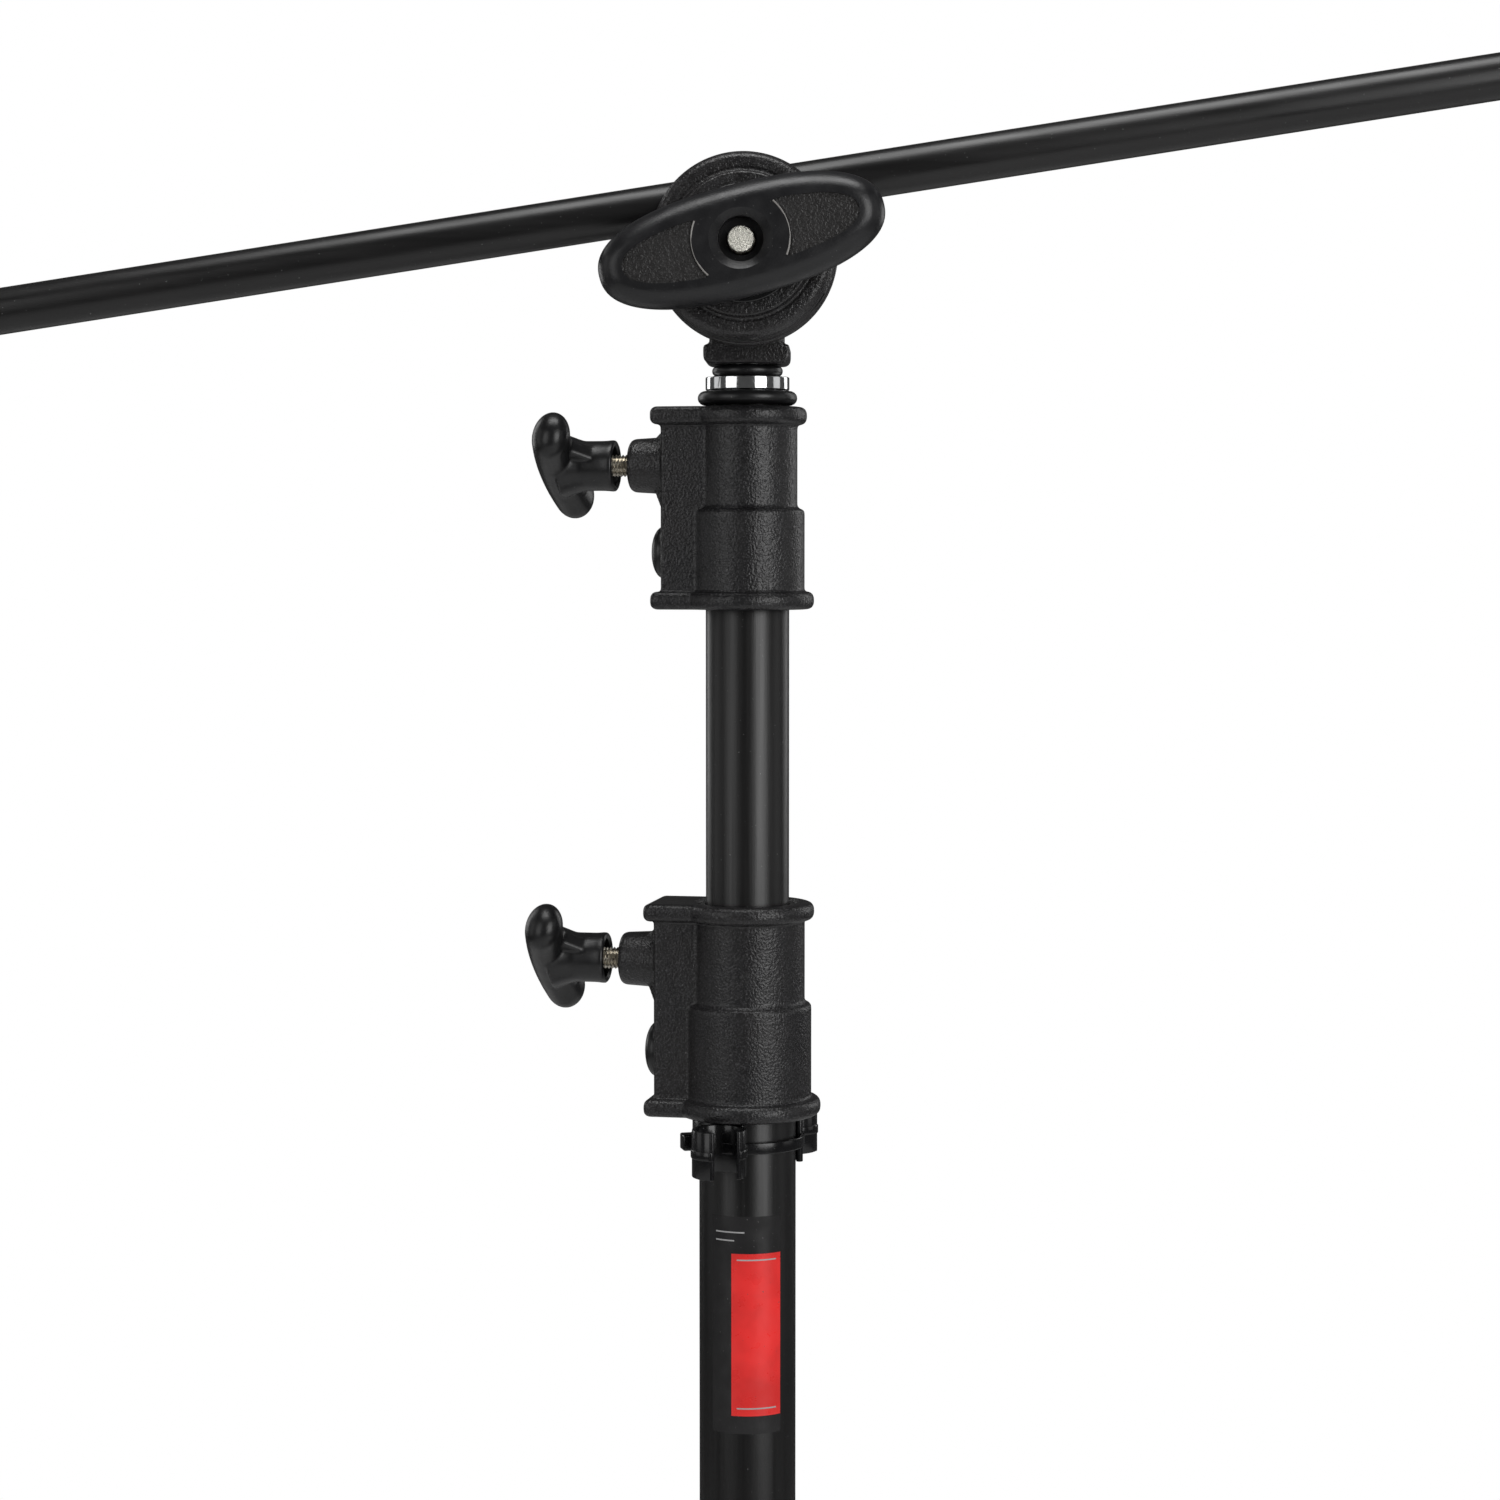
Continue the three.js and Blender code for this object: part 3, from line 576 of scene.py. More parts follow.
def casting_plug(side):
    """The domed button in the side of a casting."""
    node = side + "_plug"
    low, high = node_box(node)
    radius = (high.z - low.z) / 2
    face = CLAMPS[side]["reach"] + GAP
    outline = [(0, face - 5), (4, face - 5), (4, face), (radius, face), (radius, face + 0.8)]
    for i in range(1, 13):
        angle = math.pi / 2 * i / 12
        outline.append((radius * math.cos(angle) ** 0.85, face + 0.8 + 4.1 * math.sin(angle)))
    outline[-1] = (0, face + 4.9)
    centre = (0, 0, (low.z + high.z) / 2)
    stands_for(put(revolved(node, outline, 72), along(centre, joint_axis(side + "_knob_turn"))), node, KNOB)


WING_REACH, WING_END = 19.8, 8.2


def clamp_knob(node, place, hub_face, lean):
    """A moulded T knob. Local +Z runs out along the screw, and the wing lies along local X, leaned over."""
    wing_at = hub_face + KNOB_HUB_LENGTH + 7
    hub = [(0, hub_face), (KNOB_HUB_R - 0.1, hub_face), (KNOB_HUB_R - 0.5, hub_face + 4),
           (KNOB_HUB_R - 0.5, wing_at - 8), (KNOB_HUB_R + 2.4, wing_at), (0, wing_at + 2)]
    parts = [revolved("hub", rounded(hub, 1.0), 72)]
    path, count = [], 24
    for i in range(count + 1):
        x = (2 * i / count - 1) * WING_REACH
        path.append(Vector((x, 0, wing_at + 1.9 - 1.8 * (x / WING_REACH) ** 2)))
    parts.append(wing_body(path))
    web = [(-19, wing_at), (19, wing_at), (KNOB_HUB_R - 1.2, hub_face + 6.5),
           (-KNOB_HUB_R + 1.2, hub_face + 6.5)]
    parts.append(put(bevelled(prism("web", web, -3, 3), 1, 2), Matrix.Rotation(math.pi / 2, 4, "X")))
    made = melted(node, 0.55, 9, *parts)
    mouth = [(0, hub_face - 2), (7.9, hub_face - 2), (7.9, hub_face + 0.2), (7.2, hub_face + 0.9),
             (6.9, hub_face + 5), (SCREW_R + GAP, hub_face + 5.6), (SCREW_R + GAP, hub_face + 12),
             (0, hub_face + 12)]
    cut(made, revolved("mouth", mouth, 64))
    turn = Matrix.Rotation(math.radians(-lean), 4, "Z")
    stands_for(put(made, place @ turn), node, KNOB)


def wing_body(path):
    """A bar with round ends that is a little thicker towards them, along a path."""
    points, rings = [], []
    around, end_steps = 28, 9
    for i in range(end_steps):
        angle = math.pi / 2 * (1 - i / end_steps)
        out = (path[0] - path[1]).normalized() * WING_END * math.sin(angle)
        rings.append((path[0] + out, math.cos(angle)))
    rings += [(p, 1.0) for p in path]
    for i in range(1, end_steps + 1):
        angle = math.pi / 2 * i / end_steps
        out = (path[-1] - path[-2]).normalized() * WING_END * math.sin(angle)
        rings.append((path[-1] + out, math.cos(angle)))
    for centre, size in rings:
        away = min(1.0, abs(centre.x) / WING_REACH)
        high, deep = 8.7 + 0.5 * away ** 2, 6.8 + 0.2 * away ** 2
        for i in range(around):
            angle = 2 * math.pi * i / around
            shift = Vector((0, high * math.cos(angle), deep * math.sin(angle))) * max(size, 0.02)
            points.append(centre + shift)
    return skinned("wing", points, around)


def clamp_set(prefix, place, tip, boss, lean):
    """A clamp's pad, screw and knob, along local +Z of their place."""
    back = tip + PAD_LENGTH
    hub_face = boss + KNOB_GAP
    stands_for(put(rod("pad", PAD_R, tip, back, 0.5), place), prefix + "_pad", BRASS)
    screw = threaded("screw", SCREW_R, SCREW_PITCH, back + GAP, hub_face + 11.5)
    stands_for(put(screw, place), prefix + "_screw", ZINC, sharp=60)
    clamp_knob(prefix + "_knob", place, hub_face, lean)


def leaning_place(origin, direction, wing):
    """Local +Z along a screw and local X along a direction that the knob's lean counts from."""
    z = Vector(direction).normalized()
    x = Vector(wing).normalized()
    return axes_at(origin, x, z.cross(x), z)


for clamp_side, clamp in CLAMPS.items():
    casting(clamp_side)
    casting_bush(clamp_side)
    casting_plug(clamp_side)
    screw_axis = joint_axis(clamp_side + "_knob_turn")
    screw_start = Vector((0, 0, joint_point(clamp_side + "_knob_turn").z))
    clamp_set(clamp_side, leaning_place(screw_start, screw_axis, UP), tube_radius(clamp["riser"]) + GAP,
              clamp["boss"], clamp["lean"])

# ---------------------------------------------------------------- spigot pin and rings
PIN_R = 7.94
COLLAR_HEIGHT = 4.7


def spigot_pin():
    low, high = node_box("spigot_pin")
    collar = low.z + 30
    radius = (high.x - low.x) / 2
    outline = [(0, low.z), (10.9, low.z, 1), (10.9, collar), (radius, collar, 0.5),
               (radius, collar + COLLAR_HEIGHT, 0.5), (PIN_R, collar + COLLAR_HEIGHT),
               (PIN_R, collar + 15.4, 0.3), (6.2, collar + 17.4), (6.2, collar + 25.4),
               (PIN_R, collar + 27.4), (PIN_R, high.z, 1.5), (0, high.z)]
    stands_for(revolved("pin", rounded(outline, 0.2), 128), "spigot_pin", CHROME)


def rubber_ring(node):
    low, high = node_box(node)
    wire = (high.z - low.z) / 2 * 1.12
    radius = (high.x - low.x) / 2 - wire
    middle = (low.z + high.z) / 2
    loop = []
    for i in range(20):
        angle = 2 * math.pi * i / 20
        loop.append((radius + wire * math.cos(angle), middle + wire * math.sin(angle)))
    stands_for(revolved(node, loop, 128, loop=True), node, RUBBER)


spigot_pin()
rubber_ring("bumper_ring")
rubber_ring("pin_ring")

# ---------------------------------------------------------------- grip heads
PARTING = 42
JAW_R = 31.75
BIG_GROOVE, SMALL_GROOVE = (17.9, 8), (-16.5, 6.35)
BOLT_R, BOLT_PITCH, BOLT_END_AT = 4.76, 1.5875, 75.5
HEAD_HALF = 15
FOOT_Z, FOOT_HALF, FOOT_HEIGHT, NECK_HALF = -37.7, 15.3, 6.5, 13.1
DISC_R, DISC_FRONT = 32.3, 27
LOCK_Z, LOCK_REACH, SOCKET_TOP = -25.6, 24, -7
WELL_R = 9.2
WASHER_R, WASHER_BACK, WASHER_FRONT = 20, 59.5, 62


def head_outline():
    """The socket block's front outline, foot down."""
    shoulder = FOOT_Z + FOOT_HEIGHT
    side = [(0, FOOT_Z), (FOOT_HALF, FOOT_Z, 3), (FOOT_HALF, shoulder, 3), (NECK_HALF, shoulder + 0.3, 2.4),
            (NECK_HALF, -2, 1)]
    right = rounded(side + [(NECK_HALF, 0)], 1, 6)
    arch = [Vector((NECK_HALF * math.cos(a), NECK_HALF * math.sin(a))) for a in
            (math.pi / 2 * i / 10 for i in range(1, 11))]
    half = right + arch
    return half + [Vector((-p.x, p.y)) for p in reversed(half[1:-1])]


def head_body(node, place, socket_r, bolt_node, lock_reach=None):
    """place: local X right of the socket, local Y back, local Z up the socket from the bolt's level."""
    towards = place @ along((0, 0, 0), (0, -1, 0))
    block_shape = put(prism("socket", head_outline(), -HEAD_HALF, HEAD_HALF),
                      Matrix.Rotation(math.pi / 2, 4, "X"))
    parts = [bevelled(block_shape, 1.6, 3)]
    disc = [(0, HEAD_HALF - 2), (DISC_R - 4, HEAD_HALF - 2), (DISC_R - 0.6, HEAD_HALF + 2.5),
            (DISC_R, HEAD_HALF + 5), (DISC_R, DISC_FRONT), (0, DISC_FRONT)]
    parts.append(put(revolved("disc", rounded(disc, 1.2), 144), along((0, 0, 0), (0, -1, 0))))
    if lock_reach:
        boss = rounded([(0, 5), (10, HEAD_HALF), (9.5, lock_reach, 2), (0, lock_reach)], 0.5)
        parts.append(put(revolved("boss", boss, 64), along((0, 0, LOCK_Z), (0, 1, 0))))
    made = melted(node, 0.55, 4, *parts)
    socket = [(0, FOOT_Z - 3), (socket_r + 1.3, FOOT_Z - 3), (socket_r + 1.3, FOOT_Z),
              (socket_r + GAP, FOOT_Z + 1), (socket_r + GAP, SOCKET_TOP), (0, SOCKET_TOP)]
    bolt_way = put(rod("way", BOLT_R + GAP, -30, 40, 0), along((0, 0, 0), (0, -1, 0)))
    tools = [revolved("socket", socket, 72), bolt_way]
    if lock_reach:
        tools.append(put(rod("way", SCREW_R + GAP, 0, lock_reach + 3, 0), along((0, 0, LOCK_Z), (0, 1, 0))))
    else:
        tools.append(put(rod("way", 2.3, -30, 30, 0), along((0, 0, LOCK_Z), (0, 1, 0))))
    cut(made, *tools)
    stands_for(put(made, place), node, CASTING)
    head_bolt(bolt_node, towards)


def head_bolt(node, towards):
    """The carriage bolt: a domed head at the back and a sawn end at the front."""
    dome = [(0, -HEAD_HALF - 4.4), (5, -HEAD_HALF - 4, 2), (9.4, -HEAD_HALF - 1.8, 1), (10, -HEAD_HALF - 0.3),
            (BOLT_R, -HEAD_HALF - 0.3), (BOLT_R, PARTING), (0, PARTING)]
    shank = revolved("shank", rounded(dome, 0.3), 72)
    thread = threaded("thread", BOLT_R, BOLT_PITCH, PARTING - 0.2, BOLT_END_AT - 0.3)
    face = rod("end", BOLT_R - 0.35, BOLT_END_AT - 1.2, BOLT_END_AT, 0.5)
    in_material(face, 1)
    stands_for(put(joined(node, shank, thread, face), towards), node, ZINC, BOLT_END, sharp=50)


def groove(place, height, rod_r):
    """A long V cutter with a flat floor, for a rod that lies along local X."""
    flank = (rod_r + 0.15) * math.sqrt(2)
    floor = rod_r + 0.4
    outline = [(floor, -flank + floor), (floor, flank - floor), (0, flank), (-floor, flank - floor),
               (-floor, -flank + floor), (0, -flank)]
    made = prism("groove", outline, -2 * JAW_R, 2 * JAW_R)
    turn = axes_at((0, -PARTING, height), BACK, UP, RIGHT)
    return put(made, place @ turn)


def jaw(node, place, profile, well):
    """A round jaw from its (radius, distance towards -Y) profile, with its grooves and its spring well."""
    towards = place @ along((0, 0, 0), (0, -1, 0))
    made = put(revolved(node, rounded(profile, 0.9), 144), towards)
    cut(made, put(rod("way", BOLT_R + GAP, 0, 90, 0), towards), put(rod("well", WELL_R, *well, 0), towards),
        groove(place, *BIG_GROOVE), groove(place, *SMALL_GROOVE))
    bevelled(made, 0.35, 2, 40)
    stands_for(made, node, CASTING, sharp=32)


def jaw_spring(node, place):
    half_length, turns, steps = 7.2, 4, 32
    coil_r, wire_r = 7.4, 0.8
    path = []
    for i in range(turns * steps + 1):
        t = i / (turns * steps)
        angle = 2 * math.pi * turns * t
        along_y = -PARTING + half_length * (2 * t - 1)
        path.append(Vector((coil_r * math.cos(angle), along_y, coil_r * math.sin(angle))))
    stands_for(put(swept(node, path, wire_r, 12), place), node, ZINC, sharp=60)


HANDLE_BACK, HANDLE_FRONT = 62.3, 79
HANDLE_ANGLE, ARM_HANDLE_ANGLE = 14.5, 20
HANDLE_HALF_LENGTH, HANDLE_HALF_WIDTH, HANDLE_POWER = 49.3, 18.8, 2.35
PANEL_MARGIN, PANEL_ARC, PANEL_DEPTH = 8.6, 16.4, 0.55


def handle_ring(inset, count=180):
    """The handle's outline, drawn in by an inset."""
    outline = []
    for i in range(count):
        angle = 2 * math.pi * i / count
        c, s = math.cos(angle), math.sin(angle)
        power = 2 / HANDLE_POWER
        x = math.copysign(abs(c) ** power, c) * HANDLE_HALF_LENGTH
        z = math.copysign(abs(s) ** power, s) * HANDLE_HALF_WIDTH
        outline.append(Vector((x * (1 - inset / HANDLE_HALF_LENGTH), z * (1 - inset / HANDLE_HALF_WIDTH))))
    return outline


def handle_levels():
    """(inset, distance towards -Y) from the back of the handle to its front face."""
    middle = HANDLE_BACK + 6.6
    levels = []
    for i in range(9):
        angle = math.pi / 2 * i / 8
        levels.append((6.5 * (1 - math.sin(angle)), middle - 6.6 * math.cos(angle)))
    for i in range(1, 15):
        angle = math.pi / 2 * i / 14
        levels.append((7.8 * (1 - math.cos(angle)), middle + (HANDLE_FRONT - 0.5 - middle) * math.sin(angle)))
    levels += [(10.5, HANDLE_FRONT - 0.32), (13.5, HANDLE_FRONT - 0.12), (16.4, HANDLE_FRONT)]
    return levels


def handle_shell():
    rings = [(handle_ring(inset), depth) for inset, depth in handle_levels()]
    points = [(p.x, p.y, depth) for ring, depth in rings for p in ring]
    return skinned("shell", points, len(rings[0][0]))


def panel_edges(side):
    """One textured field of the handle: its outer edge beside the rim and its inner arc round the hub."""
    outer = [p for p in handle_ring(PANEL_MARGIN, 360) if side * p.x > 0 and p.length > PANEL_ARC + 0.4]
    outer.sort(key=lambda p: math.atan2(p.y, side * p.x))
    start, end = [math.atan2(p.y, side * p.x) for p in (outer[0], outer[-1])]
    arc = []
    for i in range(17):
        angle = end + (start - end) * i / 16
        arc.append(Vector((side * PANEL_ARC * math.cos(angle), PANEL_ARC * math.sin(angle))))
    return outer[::3], arc


def handle(node, nut_node, place, angle):
    """place: the head's frame. The handle lies at an angle above its local +X, seen from the front."""
    c, s = math.cos(math.radians(angle)), math.sin(math.radians(angle))
    turned = place @ axes_at((0, 0, 0), (c, 0, s), (-s, 0, c), (0, -1, 0))
    hub_outline = [(0, HANDLE_BACK), (14.5, HANDLE_BACK, 1), (14.5, HANDLE_BACK + 6), (0, HANDLE_BACK + 6)]
    hub = revolved("hub", rounded(hub_outline, 1))
    made = melted(node, 0.55, 3, handle_shell(), hub)
    paint(made, HANDLE)
    recess = [(0, HANDLE_FRONT + 3), (10.6, HANDLE_FRONT + 3), (10.6, HANDLE_FRONT - 0.1),
              (8.1, HANDLE_FRONT - 2.2), (7.6, HANDLE_FRONT - 2.7), (7.6, 70), (BOLT_R + GAP, 70),
              (BOLT_R + GAP, HANDLE_BACK - 3), (0, HANDLE_BACK - 3)]
    cut(made, revolved("recess", recess), rod("nut_way", 8.6, HANDLE_BACK - 3, HANDLE_BACK + 5.6, 0, 6))
    beads = []
    for side in (-1, 1):
        outer, arc = panel_edges(side)
        field = prism("field", outer + arc, HANDLE_FRONT - PANEL_DEPTH - 0.5, HANDLE_FRONT + 3)
        paint(field, HANDLE_PANEL)
        cut(made, field)
        # the bead along each inner arc takes the pale material, a painted highlight on that edge
        bead = swept("bead", [Vector((p.x, p.y, HANDLE_FRONT - 0.35)) for p in arc], 0.3, 8)
        in_material(bead, 2)
        beads.append(bead)
    for polygon in made.data.polygons:
        used = made.data.materials[polygon.material_index]
        polygon.material_index = 1 if used == HANDLE_PANEL else 0
    whole = joined(node, made, *beads)
    stands_for(put(whole, turned), node, HANDLE, HANDLE_PANEL, HANDLE_BEAD_PAINTED_HIGHLIGHT, sharp=34)
    handle_nut(nut_node, turned)


def handle_nut(node, turned):
    nut = rod("nut", 8.2, HANDLE_BACK + 0.2, HANDLE_BACK + 5.2, 0, 6)
    cut(nut, rod("way", BOLT_R + GAP, HANDLE_BACK - 3, HANDLE_BACK + 9, 0, 48))
    stands_for(put(bevelled(nut, 0.4, 2), turned), node, ZINC)


def friction_washer(node, place):
    towards = place @ along((0, 0, 0), (0, -1, 0))
    inner, middle = BOLT_R + GAP, (WASHER_BACK + WASHER_FRONT) / 2
    outline = [(inner, middle), (inner, WASHER_BACK), (WASHER_R, WASHER_BACK), (WASHER_R, WASHER_FRONT),
               (inner, WASHER_FRONT), (inner, middle)]
    stands_for(put(revolved(node, rounded(outline, 0.5, 3)[:-1], 96, loop=True), towards), node, NYLON)


REAR_PROFILE = [(0, 27.3), (JAW_R - 1.2, 27.3, 0.4), (JAW_R, 29.5), (JAW_R, 41.1, 0.6), (0, 41.1)]
FRONT_PROFILE = [(0, 42.9), (JAW_R, 42.9, 0.6), (JAW_R, 53.2, 0.8), (JAW_R - 1.6, 56.5, 1.6),
                 (26.4, 56.5, 0.3), (25.6, 56.1, 0.3), (24.8, 56.5, 0.3), (24.2, 59.2, 0.8), (0, 59.2)]


def jaw_set(prefix, head_place, jaw_place, handle_angle):
    jaw(prefix + "_rear_jaw", jaw_place, REAR_PROFILE, (33.1, 45))
    jaw(prefix + "_front_jaw", jaw_place, FRONT_PROFILE, (40, 50.9))
    jaw_spring(prefix + "_jaw_spring", jaw_place)
    friction_washer(prefix + "_washer", jaw_place)
    handle(prefix + "_handle", prefix + "_handle_nut", head_place, handle_angle)


head_origin = joint_point("head_tilt")
head_origin.y = 0
arm_axis = joint_axis("arm_slide")
arm_up = BACK.cross(arm_axis) * -1
head_place = axes_at(head_origin, RIGHT, BACK, UP)
jaw_place = axes_at(head_origin, arm_axis, BACK, arm_up)
head_body("head_body", head_place, PIN_R, "head_bolt", LOCK_REACH)
clamp_set("head_lock", leaning_place(head_origin + UP * LOCK_Z, BACK, UP), PIN_R + GAP, LOCK_REACH, 0)
jaw_set("head", head_place, jaw_place, HANDLE_ANGLE)

# ---------------------------------------------------------------- grip arm
ARM_R = 8
arm_head_origin = joint_point("arm_head_tilt")
arm_head_origin.y += PARTING
ARM_LENGTH, ARM_IN_SOCKET = 1016, 27.9


def arm_rod():
    high = FOOT_Z + ARM_IN_SOCKET
    place = along(arm_head_origin, arm_axis)
    stands_for(put(pipe("arm", ARM_R, 1.8, high - ARM_LENGTH, high), place), "arm_rod", ARM_PAINT)
    end = high - ARM_LENGTH
    outline = [(0, end - 3), (ARM_R - 1, end - 3, 1.4), (ARM_R, end - 0.8, 1), (ARM_R, end - 0.3),
               (5.9, end - 0.3), (5.9, end + 14), (0, end + 14)]
    stands_for(put(revolved("cap", rounded(outline, 0.4), 72), place), "arm_end_cap", RUBBER)


def arm_head_rivet(place):
    outline = [(0, ARM_R + 0.6), (2, ARM_R + 0.6), (2, HEAD_HALF + 0.4), (3.6, HEAD_HALF + 0.4),
               (3.5, HEAD_HALF + 0.9), (2.4, HEAD_HALF + 1.5, 0.8), (0, HEAD_HALF + 1.6)]
    made = put(revolved("rivet", rounded(outline, 0.2), 48), place @ along((0, 0, LOCK_Z), (0, 1, 0)))
    stands_for(made, "arm_head_rivet", ZINC)


arm_rod()
arm_head_place = axes_at(arm_head_origin, arm_up * -1, BACK, arm_axis)
arm_jaw_place = axes_at(arm_head_origin, -UP, BACK, RIGHT)
head_body("arm_head_body", arm_head_place, ARM_R, "arm_head_bolt")
arm_head_rivet(arm_head_place)
jaw_set("arm_head", arm_jaw_place, arm_jaw_place, ARM_HANDLE_ANGLE)

# ---------------------------------------------------------------- base
LEG_R, FOOT_R, HUB_R, STUB_R = 12.5, 16, 26, 15.3
HUB_HALF, STUB_REACH = 18, 46
LEG_START, LEG_END, LEVEL_FROM, FLOOR_FROM, BEND = 27, 462, 76, 300, 22
LEG_AXIS_Z = 15.5
LEG_ANGLES = {"low": 120, "mid": 240, "high": 0}


def leg_path(height):
    """The bent leg's centre line, out along local X."""
    slope = (height - LEG_AXIS_Z) / (FLOOR_FROM - LEVEL_FROM)
    corners = [(LEVEL_FROM - BEND, height), (LEVEL_FROM, height), (LEVEL_FROM + BEND, height - slope * BEND),
               (FLOOR_FROM - BEND, LEG_AXIS_Z + slope * BEND), (FLOOR_FROM, LEG_AXIS_Z),
               (FLOOR_FROM + BEND, LEG_AXIS_Z)]
    path = [Vector((LEG_START, 0, height))]
    for start, corner, end in (corners[:3], corners[3:]):
        for i in range(17):
            t = i / 16
            x, z = [start[k] * (1 - t) ** 2 + corner[k] * 2 * t * (1 - t) + end[k] * t ** 2 for k in (0, 1)]
            path.append(Vector((x, 0, z)))
    path.append(Vector((LEG_END, 0, LEG_AXIS_Z)))
    return path


def leg_hub(name, height, turn):
    low, high = height - HUB_HALF, height + HUB_HALF
    outline = [(0, low), (HUB_R, low, 1.4), (HUB_R, high, 1.4), (0, high)]
    stub = rod("stub", STUB_R, 0, STUB_REACH, 1.6, 96)
    made = melted("hub", 0.75, 5, revolved("ring", rounded(outline, 1), 144),
                  put(stub, along((0, 0, height), RIGHT)))
    socket = rod("socket", LEG_R + GAP, LEG_START - GAP, 60, 0)
    bore = rod("bore", COLUMN_R + GAP, height - 30, height + 30, 0, 144)
    cut(made, put(socket, along((0, 0, height), RIGHT)), bore)
    stands_for(put(made, turn), "leg_hub_" + name, CASTING)


def foot(name, turn):
    """A ribbed rubber boot over the leg's end, flat where it stands."""
    inner, outer = 428, 470
    outline = [(0, outer), (FOOT_R - 4, outer, 2.4), (FOOT_R - 0.4, outer - 4, 3), (FOOT_R, outer - 8)]
    for i in range(4):
        start = outer - 11 - i * 6
        outline += [(FOOT_R, start), (FOOT_R - 0.9, start - 1), (FOOT_R - 0.9, start - 2),
                    (FOOT_R, start - 3)]
    outline += [(FOOT_R, inner, 1.2), (LEG_R + GAP, inner, 0.4), (LEG_R + GAP, LEG_END + GAP),
                (0, LEG_END + GAP)]
    made = put(revolved("foot", rounded(outline, 0.5, 3), 96), along((0, 0, LEG_AXIS_Z), RIGHT))
    cut(made, block("floor", (inner - 5, -40, -20), (outer + 5, 40, 0)))
    stands_for(put(made, turn), "foot_" + name, SOLE_RUBBER)


for leg_name, leg_angle in LEG_ANGLES.items():
    leg_turn = Matrix.Rotation(math.radians(leg_angle), 4, "Z")
    hub_low, hub_high = node_box("leg_hub_" + leg_name)
    leg_height = (hub_low.z + hub_high.z) / 2
    leg_hub(leg_name, leg_height, leg_turn)
    stands_for(put(swept("leg", leg_path(leg_height), LEG_R, 48), leg_turn), "leg_" + leg_name, TUBE_PAINT)
    foot(leg_name, leg_turn)

for washer in ("hub_washer_low", "hub_washer_high"):
    washer_low, washer_high = node_box(washer)
    washer_r = (washer_high.y - washer_low.y) / 2
    flat_ring = pipe(washer, washer_r, washer_r - COLUMN_R - GAP, washer_low.z, washer_high.z, 0.6)
    stands_for(flat_ring, washer, NYLON)


def hub_spring():
    """Five turns of wire, the first and last of them closed flat."""
    bottom, top, turns, steps = 195, 219, 5, 48
    coil_r, wire_r = 21.5, 1.6
    path = []
    for i in range(turns * steps + 1):
        t = i / (turns * steps)
        rise = min(1, max(0, (t - 0.12) / 0.76))
        angle = 2 * math.pi * turns * t
        x, y = coil_r * math.cos(angle), coil_r * math.sin(angle)
        path.append(Vector((x, y, bottom + (top - bottom) * rise)))
    stands_for(swept("spring", path, wire_r, 16), "hub_spring", ZINC, sharp=60)


def hub_collar():
    low, high = node_box("hub_collar")
    outer = (high.y - low.y) / 2
    made = pipe("collar", outer, outer - COLUMN_R - GAP, low.z, high.z, 1.2, 144)
    cut(made, put(rod("screw_way", 2.6, 10, 40, 0), along((0, 0, (low.z + high.z) / 2), (0, -1, 0))))
    stands_for(made, "hub_collar", CASTING)


hub_spring()
hub_collar()

# ---------------------------------------------------------------- arm clip, its tie and the label
CLIP_R, CLIP_JAW_R, CLIP_WALL, CLIP_REACH = 20, 8.2, 1.9, 28.6
CLIP_JAWS = ((251, 290), (57, 20))
TIE_THICKNESS, TIE_TURN = 1.3, 16


def open_ring(name, centre, inner, outer, mouth, gap, low, high):
    """An upright C: a ring with a gap, its lips rounded."""
    start, end = mouth + gap, mouth + 360 - gap
    steps = 40
    outline = []
    for radius, angles in ((outer, range(steps + 1)), (inner, range(steps, -1, -1))):
        for i in angles:
            angle = math.radians(start + (end - start) * i / steps)
            outline.append((centre[0] + radius * math.cos(angle), centre[1] + radius * math.sin(angle)))
    made = bevelled(prism(name, outline, low, high), 0.35, 2, 50)
    lip_r = (outer - inner) / 2 + 0.15
    lips = []
    for angle in (start, end):
        middle = (inner + outer) / 2
        at = (centre[0] + middle * math.cos(math.radians(angle)),
              centre[1] + middle * math.sin(math.radians(angle)), 0)
        lips.append(put(rod("lip", lip_r, low, high, 0.35, 24), Matrix.Translation(at)))
    return [made, *lips]


def arm_clip():
    low, high = node_box("arm_clip")
    middle = (low.z + high.z) / 2
    parts = open_ring("band", (0, 0), COLUMN_R + GAP, CLIP_R, -45, 50, low.z, high.z)
    for azimuth, mouth in CLIP_JAWS:
        angle = math.radians(azimuth)
        centre = (CLIP_REACH * math.cos(angle), CLIP_REACH * math.sin(angle))
        outer = CLIP_JAW_R + CLIP_WALL
        parts += open_ring("jaw", centre, CLIP_JAW_R, outer - 0.45, mouth, 34, low.z, high.z)
        parts += open_ring("tie_pass", centre, CLIP_JAW_R + 0.2, outer, mouth, 36, middle - 1.6, middle + 1.6)
    stands_for(joined("arm_clip", *parts), "arm_clip", NYLON)


def clip_tie():
    """A cable tie round the clip, with its ratchet head and the cut end of its tail."""
    low, high = node_box("clip_tie")
    middle = (low.z + high.z) / 2
    inner = CLIP_R - 0.5
    strap = pipe("strap", inner + TIE_THICKNESS, TIE_THICKNESS, middle - 2, middle + 2, 0.3)
    head = block("head", (-inner - 5, -3.2, middle - 2.9), (-inner - 0.4, 3.2, middle + 2.9), 0.6, 3)
    tail = block("tail", (-inner - 4, -0.7, middle + 2.5), (-inner - 1.2, 0.7, middle + 2.9), 0.2, 2)
    turn = Matrix.Rotation(math.radians(TIE_TURN), 4, "Z")
    stands_for(joined("tie", strap, put(head, turn), put(tail, turn)), "clip_tie", NYLON)


FILM_ANGLES, FIELD_ANGLES = (-134, -46), (-107.5, -46.6)


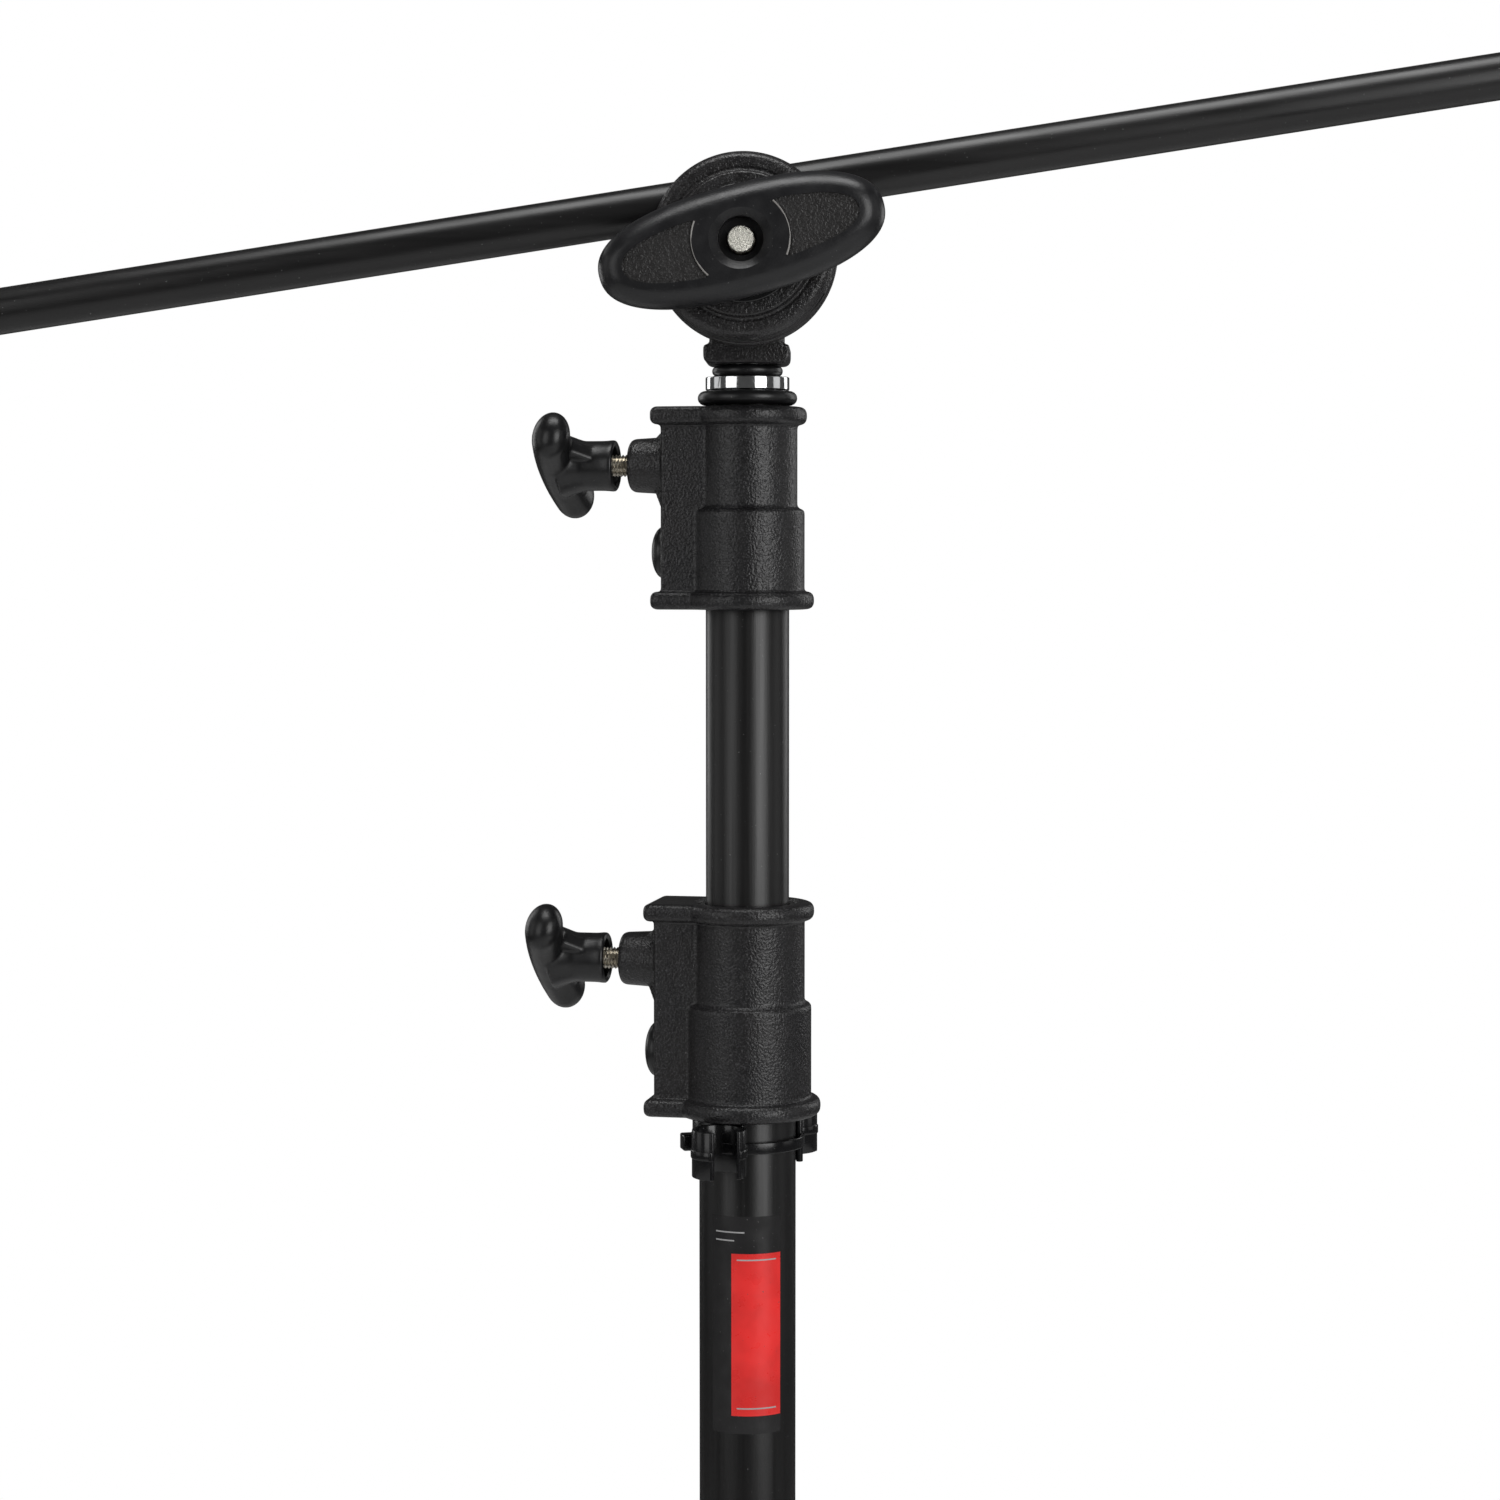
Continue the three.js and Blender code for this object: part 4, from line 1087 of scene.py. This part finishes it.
def curved_patch(name, radius, thickness, angles, heights):
    """A thin sheet bent round the column between two angles and two heights."""
    columns = 40
    points, faces = [], []
    for r in (radius, radius + thickness):
        for z in heights:
            for i in range(columns + 1):
                angle = math.radians(angles[0] + (angles[1] - angles[0]) * i / columns)
                points.append((r * math.cos(angle), r * math.sin(angle), z))
    row = columns + 1
    for i in range(columns):
        faces.append([i, i + 1, row + i + 1, row + i])
        faces.append([2 * row + i, 2 * row + i + 1, 3 * row + i + 1, 3 * row + i])
        faces.append([i, i + 1, 2 * row + i + 1, 2 * row + i])
        faces.append([row + i, row + i + 1, 3 * row + i + 1, 3 * row + i])
    for i in (0, columns):
        faces.append([i, row + i, 3 * row + i, 2 * row + i])
    return mesh_object(name, points, faces)


def label():
    """A dark film with a plain red field and a few pale rules. It carries no lettering."""
    low, high = node_box("label")
    inner = COLUMN_R + 0.02
    film = curved_patch("film", inner, 0.12, FILM_ANGLES, (low.z, high.z))
    field = curved_patch("field", inner + 0.12, 0.04, FIELD_ANGLES, (low.z + 6.5, high.z - 13.5))
    parts = [film, field]
    in_material(field, 1)
    rules = [(-101, -53, low.z + 9), (-101, -53, high.z - 16), (-128, -92, high.z - 6),
             (-128, -104, high.z - 9)]
    for start, end, height in rules:
        rule = curved_patch("rule", inner + 0.16, 0.02, (start, end), (height, height + 0.5))
        in_material(rule, 2)
        parts.append(rule)
    stands_for(joined("label", *parts), "label", FILM, FILM_RED, FILM_RULE, sharp=60)


arm_clip()
clip_tie()
label()

# ---------------------------------------------------------------- camera, floor and light
LENS = 76.8
CAMERA_BACK, CAMERA_AZIMUTH, CAMERA_PITCH = 1150, 1.7, -3.63
CAMERA_OVER_CASTING = 127.8
AIM_RIGHT = 0.9


def camera():
    _, casting_top = node_box("lower_casting")
    height = casting_top.z + CAMERA_OVER_CASTING
    azimuth = math.radians(CAMERA_AZIMUTH)
    place = Vector((CAMERA_BACK * math.sin(azimuth), -CAMERA_BACK * math.cos(azimuth), height))
    side = Vector((math.cos(azimuth), math.sin(azimuth), 0))
    target = side * AIM_RIGHT + UP * (height + CAMERA_BACK * math.tan(math.radians(CAMERA_PITCH)))
    made = bpy.data.objects.new("camera", bpy.data.cameras.new("camera"))
    made.data.lens = LENS
    made.data.clip_start, made.data.clip_end = 0.05, 50
    made.location = place * MM
    made.rotation_euler = (target - place).to_track_quat("-Z", "Y").to_euler()
    bpy.context.scene.collection.objects.link(made)
    bpy.context.scene.camera = made


def softbox(name, place, aim, size, power):
    """A soft rectangular lamp. Places are in metres."""
    light = bpy.data.lights.new(name, "AREA")
    light.shape = "RECTANGLE"
    light.size, light.size_y = size
    light.energy = power
    made = bpy.data.objects.new(name, light)
    made.location = place
    made.rotation_euler = (Vector(aim) - Vector(place)).to_track_quat("-Z", "Y").to_euler()
    bpy.context.scene.collection.objects.link(made)


FLOOR_R = 1900


def studio_floor():
    disc = revolved("studio_floor", rounded([(0, -12), (FLOOR_R, -12), (FLOOR_R, 0), (0, 0)], 4), 160)
    disc.data.shade_smooth()
    paper = Finish("pale_paper", (0.86, 0.86, 0.86), 0.7)
    paper.mottle(400, (0.83, 0.83, 0.83), 0.5).bump(3, 0.05)
    disc.data.materials.append(paper.material)


def white_room(seen, lighting):
    """A world that is seen as white, and lights the object with a softer white."""
    world = bpy.data.worlds.new("white_room")
    world.use_nodes = True
    tree = world.node_tree
    background = tree.nodes["Background"]
    background.inputs["Color"].default_value = (1, 1, 1, 1)
    ray = tree.nodes.new("ShaderNodeLightPath")
    strength = tree.nodes.new("ShaderNodeMapRange")
    strength.inputs["To Min"].default_value = lighting
    strength.inputs["To Max"].default_value = seen
    tree.links.new(ray.outputs["Is Camera Ray"], strength.inputs["Value"])
    tree.links.new(strength.outputs["Result"], background.inputs["Strength"])
    bpy.context.scene.world = world


camera()
studio_floor()
white_room(1.0, 0.06)
softbox("front_left", (-1.6, -1.65, 1.35), (0, 0, 1.0), (1.3, 1.7), 10)
softbox("front_right", (1.45, -1.8, 1.35), (0, 0, 1.0), (1.3, 1.7), 27)
softbox("side_left", (-2.3, 0.0, 1.35), (0, 0, 1.0), (1.0, 1.7), 3)
softbox("side_right", (2.3, 0.0, 1.35), (0, 0, 1.0), (1.0, 1.7), 3)
softbox("top", (0, -0.3, 2.7), (0, 0, 1.0), (1.4, 1.0), 22)
softbox("back_left", (-1.6, 1.5, 1.5), (0, 0, 1.0), (0.7, 1.6), 6)
softbox("back_right", (1.6, 1.5, 1.5), (0, 0, 1.0), (0.7, 1.6), 6)
bpy.context.scene.view_settings.view_transform = "Standard"
